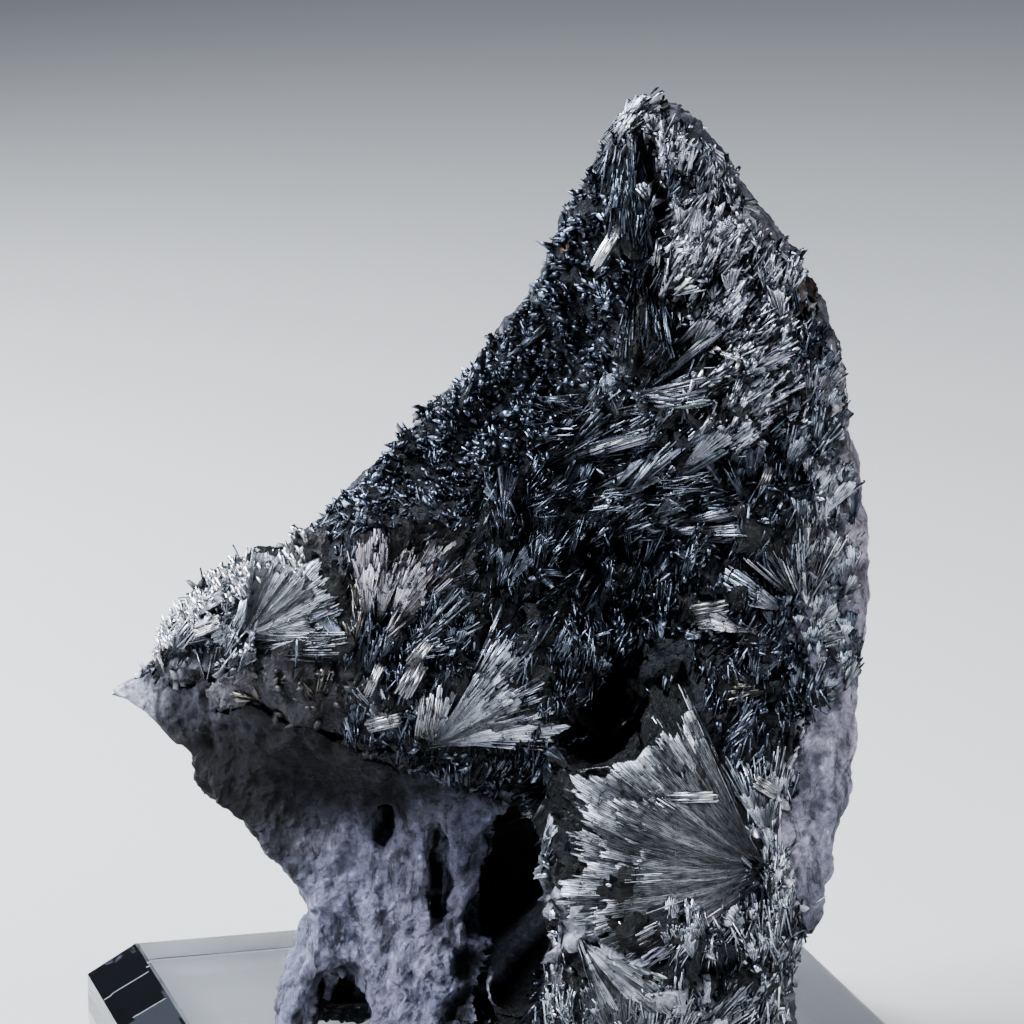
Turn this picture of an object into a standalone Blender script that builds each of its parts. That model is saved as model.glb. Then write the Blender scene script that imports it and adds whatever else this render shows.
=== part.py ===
"""Pyrolusite crystal cluster standing on a clear acrylic display block.

Metres, +Z up. The origin is the centre of the block's underside, and the block is square to X and Y.
The specimen is designed in its own display frame, in millimetres: x to the right, y away from the
viewer, z up from the plane it rests on. An empty turns that frame and lifts it onto the block.
"""
import math

import bmesh
import bpy
import numpy as np
from mathutils import Vector, noise
from mathutils.bvhtree import BVHTree

MM = 0.001
MERGE_DISTANCE = 1e-6

# Display block
BLOCK_SIDE = 70.0
BLOCK_HEIGHT = 12.0
BLOCK_BEVEL = 4.0
TOP_EDGE_SHARE = 0.9

# How the specimen stands on the block
DISPLAY_TURN = math.radians(-15.4)
TOUCH_GAP = 0.3

# Surface of the specimen
SLAB_HALF = 20.0
SLAB_VOXEL = 1.5
ENVELOPE_VOXEL = 1.4
ENVELOPE_FACES = 2300
CORE_FACES = 1500
LUMP_SIZE = 7.0
LUMP_HEIGHT = 1.1
PIT_SIZE = 2.6
PIT_HEIGHT = 0.55
FOOT_DEPTH = 4.0
FOOT_CUTTER = (120.0, 120.0, 20.0)

# Crust over the back, the right edge and the underside; it covers what faces back past BACK_TURN
RIND_THICKNESS = 2.0
RIND_FEATHER = 0.3
BACK_TURN = 0.1

# Width of the crust's band along the right edge: height z, width
BAND = [
    (11.0, 0.0),
    (15.0, 4.0),
    (22.0, 5.0),
    (30.0, 5.5),
    (38.0, 4.0),
    (45.0, 3.0),
    (52.0, 2.5),
    (58.0, 0.0),
]

# Outline seen from the front, clockwise from the peak: x, z, depth y, half the edge's thickness
OUTLINE = [
    (12.0, 84.0, 4.0, 3.0),
    (15.0, 82.5, 4.0, 3.0),
    (18.0, 78.5, 4.0, 3.0),
    (21.5, 72.5, 4.0, 3.5),
    (25.0, 69.5, 5.0, 3.5),
    (27.5, 65.0, 5.0, 3.5),
    (28.5, 60.0, 5.0, 3.5),
    (30.5, 52.0, 5.0, 4.0),
    (31.0, 48.0, 5.0, 5.0),
    (30.5, 42.0, 3.0, 6.0),
    (30.0, 36.0, 1.0, 7.0),
    (29.5, 30.0, -1.0, 7.0),
    (29.0, 24.0, -3.0, 7.0),
    (27.5, 17.0, -4.0, 8.0),
    (25.5, 10.0, -5.0, 9.0),
    (24.0, 5.0, -5.0, 10.0),
    (23.5, -FOOT_DEPTH, -5.0, 10.0),
    (-24.0, -FOOT_DEPTH, 2.0, 9.0),
    (-23.0, 1.0, 2.0, 8.0),
    (-20.5, 5.5, 2.0, 8.0),
    (-19.5, 9.5, 2.0, 7.0),
    (-21.5, 14.0, 2.0, 7.0),
    (-24.5, 15.5, 2.0, 6.0),
    (-24.0, 18.5, 2.0, 6.0),
    (-29.0, 20.5, 2.0, 5.0),
    (-31.5, 24.5, 2.0, 4.0),
    (-35.0, 27.5, 2.0, 3.0),
    (-37.5, 30.5, 2.0, 2.0),
    (-34.0, 34.0, 3.0, 2.5),
    (-31.5, 38.0, 4.0, 2.5),
    (-26.5, 41.5, 6.0, 2.5),
    (-21.0, 43.0, 8.0, 2.5),
    (-17.5, 45.5, 10.0, 2.5),
    (-13.0, 49.5, 12.0, 2.5),
    (-9.0, 53.0, 13.0, 2.5),
    (-5.5, 57.5, 14.0, 2.5),
    (-2.5, 61.5, 14.0, 2.5),
    (0.0, 64.5, 13.0, 2.5),
    (1.5, 68.0, 12.0, 2.5),
    (4.5, 76.0, 10.0, 2.5),
    (6.5, 80.0, 9.0, 2.5),
    (9.5, 83.5, 6.0, 2.5),
]

RIGHT_SIDE = 17

# Depth of the front surface at chosen places: x, z, y
FRONT_RELIEF = [
    # peak and upper left wing
    (9.0, 75.5, 3.0),
    (15.0, 79.0, 0.0),
    (4.0, 70.5, 9.0),
    (-2.5, 57.5, 11.5),
    (-9.0, 51.5, 11.0),
    (-13.5, 47.5, 9.0),
    (3.0, 56.0, 8.0),
    # central valley
    (-2.5, 47.5, 6.0),
    (1.5, 41.5, 7.0),
    (6.5, 42.0, 5.0),
    (10.0, 29.5, 5.0),
    (3.0, 25.5, 1.0),
    # right ridge and its fans
    (17.0, 73.0, -1.0),
    (23.0, 66.5, 0.0),
    (18.5, 58.5, -3.0),
    (13.5, 52.0, -3.0),
    (26.0, 54.5, 1.0),
    (22.5, 44.0, -4.0),
    (17.0, 38.5, -4.0),
    (28.0, 39.5, -3.0),
    (15.0, 31.5, -6.0),
    (22.0, 30.5, -10.0),
    (27.0, 25.0, -9.0),
    # near shoulder and the great fan below it
    (21.0, 18.5, -14.0),
    (10.5, 25.0, -15.0),
    (2.5, 21.0, -17.0),
    (7.0, 28.0, -9.0),
    (10.5, 12.0, -21.0),
    (3.0, 8.0, -20.0),
    (18.5, 8.5, -18.0),
    (11.0, -2.0, -21.0),
    # dark recess beside the foot
    (-1.5, 14.0, -3.0),
    (-3.0, 6.0, -4.0),
    (-1.0, 19.5, -6.0),
    # left lobe: front, ledge and crest
    (-26.0, 37.0, -6.0),
    (-18.0, 40.0, -4.0),
    (-12.5, 43.5, -2.0),
    (-7.0, 38.5, -5.0),
    (-18.0, 32.0, -9.5),
    (-9.0, 29.5, -12.5),
    (-2.0, 31.5, -10.0),
    (-21.0, 42.0, 2.0),
    (-31.0, 35.0, -1.0),
    # underside of the lobe and the foot
    (-30.0, 26.5, -1.0),
    (-21.0, 24.0, -3.0),
    (-12.5, 22.5, -5.0),
    (-22.0, 18.5, -1.0),
    (-16.5, 16.0, -3.0),
    (-12.5, 12.0, -5.0),
    (-19.0, 5.5, -4.0),
    (-8.0, 7.0, -7.0),
    (-12.0, -2.0, -8.0),
]

# Depth of the back surface at chosen places: x, z, y
BACK_RELIEF = [
    (12.0, 77.0, 10.0),
    (18.0, 68.0, 13.0),
    (5.0, 62.0, 19.0),
    (14.0, 56.0, 17.0),
    (-4.0, 50.0, 20.0),
    (24.0, 50.0, 12.0),
    (10.0, 42.0, 22.0),
    (-14.0, 38.0, 17.0),
    (-27.0, 32.0, 8.0),
    (22.0, 32.0, 15.0),
    (2.0, 27.0, 20.0),
    (-14.0, 22.0, 15.0),
    (-13.0, 8.0, 13.0),
    (3.0, 10.0, 17.0),
    (18.0, 12.0, 15.0),
    (0.0, -2.0, 19.0),
]

# Segments and rings of the ellipsoids that cut the hollows and holes
ELLIPSOID_SEGMENTS = 10
ELLIPSOID_RINGS = 8

# Deep hollows of the front: centre x, y, z and half sizes along x, y, z
HOLLOWS = [
    (-1.5, -5.0, 12.0, 3.8, 11.0, 8.0),
    (-0.5, -10.0, 24.0, 5.0, 7.0, 2.6),
    (6.5, -1.0, 29.5, 4.5, 7.0, 3.6),
    (25.0, 0.0, 66.0, 2.2, 4.0, 2.8),
    (23.5, -12.0, 7.5, 2.6, 6.0, 6.0),
    (15.0, -3.0, 46.5, 4.5, 4.0, 2.2),
]

# Edge of the crust across the front of the lobe and foot: x, z
RIND_FRONT = [
    (-40.0, 31.5),
    (-29.5, 29.5),
    (-20.5, 27.5),
    (-13.5, 26.0),
    (-9.0, 26.0),
    (-5.0, 23.0),
    (-2.5, 19.0),
    (-5.0, 12.5),
    (-4.0, 7.0),
    (-8.0, 1.0),
    (-8.0, -10.0),
    (-40.0, -10.0),
]

# Holes through the crust of the foot: centre x, z, half width, half height
RIND_HOLES = [
    (-13.3, 18.9, 1.4, 2.5),
    (-8.3, 15.0, 1.3, 5.0),
    (-17.5, -1.0, 3.2, 8.5),
]
HOLE_REACH = 7.0

# Sprays of the mass: root x, z, tip x, z, half width across the tips, lift of the tips
SPRAYS = [
    # rim and front of the left lobe
    (-26.0, 36.0, -20.0, 41.5, 4.5, 2.5),
    (-27.5, 36.0, -30.0, 38.0, 2.0, 1.5),
    (-24.0, 38.0, -25.5, 40.5, 2.0, 1.5),
    (-20.0, 40.0, -21.0, 42.0, 2.0, 1.5),
    (-29.5, 33.5, -33.0, 34.5, 2.2, 2.0),
    (-19.0, 31.5, -20.0, 36.5, 3.0, 1.5),
    (-24.0, 31.0, -27.0, 34.0, 2.5, 1.5),
    (-11.5, 35.5, -10.0, 46.0, 4.0, 3.0),
    (-14.5, 35.0, -15.5, 42.5, 3.2, 2.5),
    (-11.0, 35.0, -2.5, 42.0, 3.8, 2.5),
    (-9.5, 28.5, 4.0, 34.0, 4.8, 3.0),
    (-12.0, 30.0, -7.0, 36.5, 3.0, 2.0),
    (-15.0, 31.0, -15.0, 37.5, 2.5, 2.0),
    # upper bundles and blades
    (9.0, 80.0, 9.5, 69.5, 2.2, 2.0),
    (11.5, 69.0, 10.5, 58.5, 2.4, 2.5),
    (7.0, 60.0, 8.0, 55.0, 2.3, 1.5),
    (3.0, 51.0, 16.5, 58.0, 1.8, 2.5),
    (5.5, 54.0, 14.5, 56.0, 1.6, 2.0),
    (10.0, 48.0, 23.0, 63.0, 3.2, 2.0),
    (14.0, 62.0, 18.5, 66.5, 2.5, 1.5),
    (13.0, 76.0, 16.0, 71.0, 3.0, 1.5),
    (12.0, 80.5, 15.5, 81.0, 2.5, 1.0),
    (19.0, 72.0, 21.5, 67.5, 2.5, 1.0),
    # right blocks and fans
    (21.0, 52.5, 23.5, 60.0, 2.5, 1.5),
    (24.0, 53.0, 26.0, 61.0, 2.2, 1.0),
    (24.5, 41.5, 20.0, 48.0, 2.6, 2.0),
    (24.0, 42.0, 23.5, 50.0, 2.6, 2.0),
    (23.5, 38.0, 15.5, 42.5, 2.8, 2.0),
    (14.5, 37.0, 18.0, 41.5, 2.6, 2.0),
    (16.0, 35.5, 11.0, 34.0, 2.4, 2.0),
    (17.0, 33.5, 20.5, 37.0, 2.2, 2.0),
    (22.5, 34.0, 16.0, 32.0, 2.4, 2.0),
    # valley columns
    (1.0, 44.0, 4.5, 49.0, 2.4, 2.0),
    (4.0, 42.5, 9.0, 47.5, 2.4, 2.0),
    (-1.5, 40.0, 0.5, 43.5, 2.4, 2.5),
    (7.0, 37.5, 11.0, 41.0, 2.4, 2.0),
    (-1.0, 36.0, 3.5, 39.0, 2.2, 2.0),
    # near fans
    (20.5, 18.5, 6.5, 29.0, 4.6, 2.0),
    (20.0, 18.0, 2.5, 23.0, 3.8, 2.0),
    (20.0, 17.5, 3.0, 16.5, 3.4, 2.0),
    (19.5, 16.5, 9.5, 12.0, 3.4, 2.0),
    (21.0, 22.0, 17.0, 31.5, 3.2, 2.0),
    (22.5, 26.0, 23.0, 32.5, 2.6, 1.5),
    (10.0, 3.0, 2.5, 14.0, 2.8, 2.0),
    (10.5, 2.5, 6.5, 15.0, 2.6, 2.5),
    (11.0, 2.5, 13.0, 14.5, 2.6, 2.5),
    (12.0, 3.0, 18.5, 12.5, 2.8, 2.0),
]
WIDE_FAN = (-0.66, 0.0, 0.66)
NARROW_FAN = (-0.5, 0.5)
NARROW_LIMIT = 2.5
BLADE_SIDES = 5
BLADE_WIDTH = 0.5
BLADE_FLATNESS = 0.55
BLADE_ROOT_SHARE = 0.35
BEND_LIMIT = 0.4
ROOT_DEPTH = 0.2
SPRAY_CLEARANCE = 0.6

# Direction to the viewer, its weight against the surface's normals, and where rays towards the front start
VIEWER = Vector((0.0, -1.0, 0.0))
VIEWER_WEIGHT = 2.0
RAY_START = -60.0

# Ragged ends: how far they vary as a share of the length, from which share on, and the noise's scales
BLADE_RAGGED = 0.24
RAGGED_START = 0.4
RAGGED_SCALE = 900.0
RAGGED_SHIFT = 300.0

# Lengths of the blades of a spray: how far they vary, and the noise's scales
BLADE_VARY = 0.28
VARY_SCALE = 500.0
VARY_SHIFT = 7.0


def clear_scene():
    """Remove every object of the open scene."""
    for obj in list(bpy.data.objects):
        bpy.data.objects.remove(obj, do_unlink=True)


def new_collection(name):
    """Add a collection to the scene."""
    collection = bpy.data.collections.new(name)
    bpy.context.scene.collection.children.link(collection)
    return collection


def make_material(name, colour, roughness, metallic, transmission=0.0, ior=1.5):
    """Make a Principled material of plain values."""
    material = bpy.data.materials.new(name)
    material.use_nodes = True
    shader = material.node_tree.nodes["Principled BSDF"]
    shader.inputs["Base Color"].default_value = (*colour, 1.0)
    shader.inputs["Roughness"].default_value = roughness
    shader.inputs["Metallic"].default_value = metallic
    shader.inputs["Transmission Weight"].default_value = transmission
    shader.inputs["IOR"].default_value = ior
    return material


def object_from_bmesh(name, mesh_data, collection):
    """Turn a bmesh into a mesh object and free it."""
    mesh = bpy.data.meshes.new(name)
    mesh_data.to_mesh(mesh)
    mesh_data.free()
    obj = bpy.data.objects.new(name, mesh)
    collection.objects.link(obj)
    return obj


def bake(obj):
    """Replace an object's mesh by its evaluated mesh, without modifiers."""
    bpy.context.view_layer.update()
    depsgraph = bpy.context.evaluated_depsgraph_get()
    mesh = bpy.data.meshes.new_from_object(obj.evaluated_get(depsgraph))
    obj.modifiers.clear()
    obj.data = mesh


def remesh(obj, voxel):
    """Rebuild a closed mesh from voxels of one size, in millimetres."""
    modifier = obj.modifiers.new("voxels", "REMESH")
    modifier.mode = "VOXEL"
    modifier.voxel_size = voxel * MM
    bake(obj)


def boolean(obj, operation, cutter):
    """Join or cut with another object or collection.

    The rough meshes cross themselves in places, where the exact solver leaves open edges.
    """
    modifier = obj.modifiers.new(operation.lower(), "BOOLEAN")
    modifier.operation = operation
    modifier.solver = "MANIFOLD"
    if isinstance(cutter, bpy.types.Collection):
        modifier.operand_type = "COLLECTION"
        modifier.collection = cutter
    else:
        modifier.object = cutter
    bake(obj)


def mark_cutter(obj):
    """Show an object as a guide that is not part of the model."""
    obj.hide_render = True
    obj.display_type = "WIRE"


def body_faces(start):
    """Collect the faces joined to one face, not across an edge where two bodies touch."""
    found = {start}
    queue = [start]
    while queue:
        face = queue.pop()
        for edge in face.edges:
            neighbours = edge.link_faces if len(edge.link_faces) == 2 else ()
            for other in neighbours:
                if other not in found:
                    found.add(other)
                    queue.append(other)
    return found


def keep_largest_body(mesh_data):
    """Delete every loose body but the one with the most faces."""
    left = set(mesh_data.faces)
    bodies = []
    while left:
        body = body_faces(next(iter(left)))
        bodies.append(body)
        left -= body
    bodies.sort(key=len)
    small = [face for body in bodies[:-1] for face in body]
    bmesh.ops.delete(mesh_data, geom=small, context="FACES")
    loose = [vert for vert in mesh_data.verts if not vert.link_faces]
    bmesh.ops.delete(mesh_data, geom=loose, context="VERTS")


def tidy(obj):
    """Keep one closed body, split into triangles."""
    mesh_data = bmesh.new()
    mesh_data.from_mesh(obj.data)
    keep_largest_body(mesh_data)
    bmesh.ops.triangulate(mesh_data, faces=mesh_data.faces)
    mesh_data.to_mesh(obj.data)
    mesh_data.free()


def fit_depth(points):
    """Fit one smooth depth surface through points given as x, z, y."""
    places = np.array([(x, z) for x, z, _ in points])
    depths = np.array([y for _, _, y in points])
    mean = depths.mean()
    gaps = np.linalg.norm(places[:, None] - places[None, :], axis=2)
    weights = np.linalg.solve(gaps, depths - mean)

    def depth(x, z):
        reach = np.hypot(places[:, 0] - x, places[:, 1] - z)
        return float(reach @ weights + mean)

    return depth


def front_depth():
    """Fit the front surface through its chosen places and the outline."""
    return fit_depth(FRONT_RELIEF + [(x, z, y - half) for x, z, y, half in OUTLINE])


def outline_slab(collection):
    """Make the outline a thick upright slab of even voxels."""
    curve = bpy.data.curves.new("outline", "CURVE")
    curve.dimensions = "2D"
    curve.fill_mode = "BOTH"
    curve.extrude = SLAB_HALF * MM
    spline = curve.splines.new("POLY")
    spline.points.add(len(OUTLINE) - 1)
    for point, (x, z, _, _) in zip(spline.points, OUTLINE):
        point.co = (x * MM, z * MM, 0.0, 1.0)
    spline.use_cyclic_u = True
    guide = bpy.data.objects.new("outline", curve)
    collection.objects.link(guide)
    guide.rotation_euler = (math.pi / 2, 0.0, 0.0)
    bpy.context.view_layer.update()
    depsgraph = bpy.context.evaluated_depsgraph_get()
    mesh = bpy.data.meshes.new_from_object(guide.evaluated_get(depsgraph))
    mesh.transform(guide.matrix_world)
    bpy.data.objects.remove(guide, do_unlink=True)
    mesh_data = bmesh.new()
    mesh_data.from_mesh(mesh)
    bmesh.ops.remove_doubles(mesh_data, verts=mesh_data.verts, dist=MERGE_DISTANCE)
    bmesh.ops.recalc_face_normals(mesh_data, faces=mesh_data.faces)
    slab = object_from_bmesh("envelope", mesh_data, collection)
    remesh(slab, SLAB_VOXEL)
    return slab


def shape_depth(slab):
    """Move the slab's points between the front and back depth surfaces."""
    near = front_depth()
    far = fit_depth(BACK_RELIEF + [(x, z, y + half) for x, z, y, half in OUTLINE])
    for vert in slab.data.vertices:
        x, y, z = vert.co / MM
        share = (y / SLAB_HALF + 1.0) / 2.0
        share = min(max(share, 0.0), 1.0)
        vert.co.y = (near(x, z) * (1.0 - share) + far(x, z) * share) * MM


def roughen(envelope):
    """Push the surface in and out in lumps and smaller pits."""
    envelope.data.update()
    normals = [vert.normal.copy() for vert in envelope.data.vertices]
    for vert, normal in zip(envelope.data.vertices, normals):
        place = vert.co / MM
        lump = noise.noise(place / LUMP_SIZE) * LUMP_HEIGHT
        pit = noise.noise(place / PIT_SIZE) * PIT_HEIGHT
        vert.co += normal * (lump + pit) * MM


def thin_out(obj, faces, group=""):
    """Reduce a mesh to about a number of triangles, only inside a vertex group if one is named."""
    mesh_data = bmesh.new()
    mesh_data.from_mesh(obj.data)
    bmesh.ops.triangulate(mesh_data, faces=mesh_data.faces)
    mesh_data.to_mesh(obj.data)
    mesh_data.free()
    modifier = obj.modifiers.new("thin out", "DECIMATE")
    modifier.ratio = faces / len(obj.data.polygons)
    modifier.vertex_group = group
    bake(obj)


def add_ellipsoid(name, centre, half_sizes, collection):
    """Make an ellipsoid cutter from a centre and half sizes in millimetres."""
    mesh_data = bmesh.new()
    bmesh.ops.create_uvsphere(
        mesh_data, u_segments=ELLIPSOID_SEGMENTS, v_segments=ELLIPSOID_RINGS, radius=1.0
    )
    bmesh.ops.scale(mesh_data, vec=Vector(half_sizes) * MM, verts=mesh_data.verts)
    bmesh.ops.translate(mesh_data, vec=Vector(centre) * MM, verts=mesh_data.verts)
    mark_cutter(object_from_bmesh(name, mesh_data, collection))


def make_envelope(collection):
    """Build the whole specimen's outer surface."""
    envelope = outline_slab(collection)
    shape_depth(envelope)
    hollows = new_collection("hollow cutters")
    for index, row in enumerate(HOLLOWS):
        add_ellipsoid(f"hollow_{index}", row[:3], row[3:], hollows)
    boolean(envelope, "DIFFERENCE", hollows)
    remesh(envelope, ENVELOPE_VOXEL)
    roughen(envelope)
    thin_out(envelope, ENVELOPE_FACES)
    tidy(envelope)
    return envelope


def inside_polygon(x, z, corners):
    """Tell whether a point lies inside a closed outline."""
    inside = False
    for (x1, z1), (x2, z2) in zip(corners, corners[1:] + corners[:1]):
        if (z1 > z) != (z2 > z) and x < (x2 - x1) * (z - z1) / (z2 - z1) + x1:
            inside = not inside
    return inside


def right_edge(z):
    """Give the outline's x on the right side at a height."""
    side = sorted((point[1], point[0]) for point in OUTLINE[:RIGHT_SIDE])
    return float(np.interp(z, [height for height, _ in side], [x for _, x in side]))


def band_width(z):
    """Give the width of the crust's band along the right edge at a height."""
    return float(np.interp(z, [height for height, _ in BAND], [width for _, width in BAND]))


def is_rind(place, normal):
    """Tell whether the crust covers a place of the envelope."""
    x, _, z = place / MM
    if normal.y > BACK_TURN or inside_polygon(x, z, RIND_FRONT):
        return True
    return x > right_edge(z) - band_width(z)


def hidden_points(obj, covered):
    """List the covered points whose neighbours are covered too."""
    edge_points = set()
    for edge in obj.data.edges:
        first, second = edge.vertices
        if covered[first] != covered[second]:
            edge_points.update((first, second))
    return [index for index, under in enumerate(covered) if under and index not in edge_points]


def make_core(envelope, covered, collection):
    """Copy the envelope, move it in under the crust and thin it out where the crust hides it."""
    core = envelope.copy()
    core.data = envelope.data.copy()
    core.name = "core"
    collection.objects.link(core)
    normals = [vert.normal.copy() for vert in envelope.data.vertices]
    group = core.vertex_groups.new(name="covered")
    for vert, normal, under in zip(core.data.vertices, normals, covered):
        if under:
            vert.co -= normal * (RIND_THICKNESS + TOUCH_GAP) * MM
    group.add(hidden_points(core, covered), 1.0, "REPLACE")
    thin_out(core, CORE_FACES, group.name)
    mark_cutter(core)
    return core


def grown_copy(envelope, core, collection):
    """Copy the core, moved out by the gap under the crust and a little more where it is open."""
    copy = core.copy()
    copy.data = core.data.copy()
    copy.name = "rind_core"
    collection.objects.link(copy)
    tree = BVHTree.FromObject(envelope, bpy.context.evaluated_depsgraph_get())
    normals = [vert.normal.copy() for vert in core.data.vertices]
    for vert, normal in zip(copy.data.vertices, normals):
        depth = (tree.find_nearest(vert.co)[0] - vert.co).length / MM
        open_share = max(0.0, 1.0 - depth / RIND_THICKNESS)
        vert.co += normal * (TOUCH_GAP + RIND_FEATHER * open_share) * MM
    mark_cutter(copy)
    return copy


def hole_cutters(collection):
    """Make the cutters of the holes through the foot's crust."""
    near = front_depth()
    for index, (x, z, half_width, half_height) in enumerate(RIND_HOLES):
        add_ellipsoid(f"hole_{index}", (x, near(x, z), z), (half_width, HOLE_REACH, half_height), collection)
    return collection


def front_hit(tree, x, z):
    """Find the front surface at x, z: the point and its normal."""
    start = Vector((x, RAY_START, z)) * MM
    point, normal, _, _ = tree.ray_cast(start, -VIEWER)
    if point is None:
        point, normal, _, _ = tree.find_nearest(Vector((x * MM, 0.0, z * MM)))
    return point, normal


def add_blade(name, root, tip, outward, bulge, half_width, grow, collection):
    """Make one blade: a flat prism that widens to a ragged end and arches over a bulge."""
    length = (tip - root).length + 2.0 * grow * MM
    axis = (tip - root).normalized()
    side = axis.cross(outward).normalized()
    up = side.cross(axis).normalized()
    mesh_data = bmesh.new()
    bmesh.ops.create_cone(
        mesh_data,
        cap_ends=True,
        segments=BLADE_SIDES,
        radius1=(half_width * BLADE_ROOT_SHARE + grow) * MM,
        radius2=(half_width + grow) * MM,
        depth=length,
    )
    if bulge.length > BEND_LIMIT * MM:
        long_edges = [edge for edge in mesh_data.edges if edge.verts[0].co.z * edge.verts[1].co.z < 0.0]
        bmesh.ops.subdivide_edges(mesh_data, edges=long_edges, cuts=1, use_grid_fill=True)
    for vert in mesh_data.verts:
        x, y, z = vert.co
        share = z / length
        arch = 1.0 - 4.0 * share * share
        if share > RAGGED_START:
            place = Vector((x, y, 0.0)) * RAGGED_SCALE + tip * RAGGED_SHIFT
            z += noise.noise(place) * BLADE_RAGGED * length
        middle = (root + tip) / 2.0 + bulge * arch
        vert.co = middle + side * x + up * y * BLADE_FLATNESS + axis * z
    bmesh.ops.triangulate(mesh_data, faces=mesh_data.faces)
    bmesh.ops.recalc_face_normals(mesh_data, faces=mesh_data.faces)
    mark_cutter(object_from_bmesh(name, mesh_data, collection))


def add_spray(name, tree, row, grow, collection):
    """Fan the blades of one spray out from its root, rising off the surface."""
    root_x, root_z, tip_x, tip_z, half_width, lift = row
    root, root_normal = front_hit(tree, root_x, root_z)
    middle, _ = front_hit(tree, (root_x + tip_x) / 2.0, (root_z + tip_z) / 2.0)
    tip, tip_normal = front_hit(tree, tip_x, tip_z)
    outward = (root_normal + tip_normal + VIEWER * VIEWER_WEIGHT).normalized()
    root = root - outward * ROOT_DEPTH * half_width * MM
    tip = tip + outward * lift * MM
    rise = (middle - (root + tip) / 2.0).dot(outward)
    bulge = outward * max(0.0, rise)
    across = (tip - root).cross(outward).normalized() * half_width * MM
    for number, share in enumerate(WIDE_FAN if half_width > NARROW_LIMIT else NARROW_FAN):
        place = tip * VARY_SCALE + Vector((share * VARY_SHIFT, 0.0, 0.0))
        vary = 1.0 + noise.noise(place) * BLADE_VARY
        end = root + (tip + across * share - root) * vary
        width = half_width * BLADE_WIDTH
        add_blade(f"{name}_{number}", root, end, outward, bulge, width, grow, collection)


def make_sprays(core, name, grow):
    """Make every spray as a group of blades, grown by a clearance in millimetres."""
    group = new_collection(name)
    tree = BVHTree.FromObject(core, bpy.context.evaluated_depsgraph_get())
    for index, row in enumerate(SPRAYS):
        add_spray(f"{name}_{index:02d}", tree, row, grow, group)
    return group


def foot_cutter(collection):
    """Make the box that cuts the specimen off flat where it rests."""
    size = Vector(FOOT_CUTTER) * MM
    mesh_data = bmesh.new()
    bmesh.ops.create_cube(mesh_data, size=1.0)
    bmesh.ops.scale(mesh_data, vec=size, verts=mesh_data.verts)
    bmesh.ops.translate(mesh_data, vec=(0.0, 0.0, -size.z / 2.0), verts=mesh_data.verts)
    box = object_from_bmesh("foot_cutter", mesh_data, collection)
    mark_cutter(box)
    return box


def make_rind(envelope, core, collection, cutters):
    """Make the crust: the envelope less the core and the further cutters."""
    rind = envelope.copy()
    rind.data = envelope.data.copy()
    rind.name = "rind"
    collection.objects.link(rind)
    for cutter in (core, *cutters):
        boolean(rind, "DIFFERENCE", cutter)
    tidy(rind)
    return rind


def make_crystal_mass(core, collection, sprays, foot):
    """Make the mass: the core joined with its sprays and cut off at the foot."""
    mass = core.copy()
    mass.data = core.data.copy()
    mass.name = "crystal_mass"
    collection.objects.link(mass)
    boolean(mass, "UNION", sprays)
    boolean(mass, "DIFFERENCE", foot)
    tidy(mass)
    return mass


def make_block(collection):
    """Make the display block: a square slab with bevelled top edges."""
    mesh_data = bmesh.new()
    bmesh.ops.create_cube(mesh_data, size=1.0)
    size = Vector((BLOCK_SIDE, BLOCK_SIDE, BLOCK_HEIGHT)) * MM
    bmesh.ops.scale(mesh_data, vec=size, verts=mesh_data.verts)
    bmesh.ops.translate(mesh_data, vec=(0.0, 0.0, size.z / 2.0), verts=mesh_data.verts)
    level = size.z * TOP_EDGE_SHARE
    top = [edge for edge in mesh_data.edges if all(vert.co.z > level for vert in edge.verts)]
    bmesh.ops.bevel(mesh_data, geom=top, offset=BLOCK_BEVEL * MM, segments=1, affect="EDGES")
    return object_from_bmesh("display_base", mesh_data, collection)


def build():
    """Build the block and the two pieces of the specimen."""
    clear_scene()
    model = new_collection("pyrolusite crystal cluster")
    cutters = new_collection("cutters")
    acrylic = make_material("acrylic", (0.95, 0.97, 1.0), 0.03, 0.0, transmission=1.0, ior=1.49)
    crust = make_material("crust", (0.42, 0.42, 0.50), 0.75, 0.0)
    pyrolusite = make_material("pyrolusite", (0.16, 0.17, 0.19), 0.35, 0.9)

    block = make_block(model)
    block.data.materials.append(acrylic)

    envelope = make_envelope(cutters)
    mark_cutter(envelope)
    covered = [is_rind(vert.co, vert.normal) for vert in envelope.data.vertices]
    foot = foot_cutter(cutters)
    holes = hole_cutters(new_collection("hole cutters"))
    core = make_core(envelope, covered, cutters)
    sprays = make_sprays(core, "spray", 0.0)
    spray_room = make_sprays(core, "spray_room", SPRAY_CLEARANCE)
    rind_core = grown_copy(envelope, core, cutters)
    rind = make_rind(envelope, rind_core, model, (holes, spray_room, foot))
    mass = make_crystal_mass(core, model, sprays, foot)

    stand_frame = bpy.data.objects.new("display_frame", None)
    model.objects.link(stand_frame)
    stand_frame.location = (0.0, 0.0, (BLOCK_HEIGHT + TOUCH_GAP) * MM)
    stand_frame.rotation_euler = (0.0, 0.0, DISPLAY_TURN)
    for piece, material in ((rind, crust), (mass, pyrolusite)):
        piece.data.materials.clear()
        piece.data.materials.append(material)
        piece.hide_render = False
        piece.display_type = "TEXTURED"
        piece.parent = stand_frame


build()
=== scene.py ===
"""Looks of the pyrolusite crystal cluster: fibrous crystals, pale crust and clear block, with its stage.

Metres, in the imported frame. Places on the specimen are given in its display frame, in millimetres:
x to the right, y away from the viewer, z up from the top of the block.
"""
import math
import random

import bmesh
import bpy
import numpy as np
from mathutils import Matrix, Vector, noise
from mathutils.bvhtree import BVHTree


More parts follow.
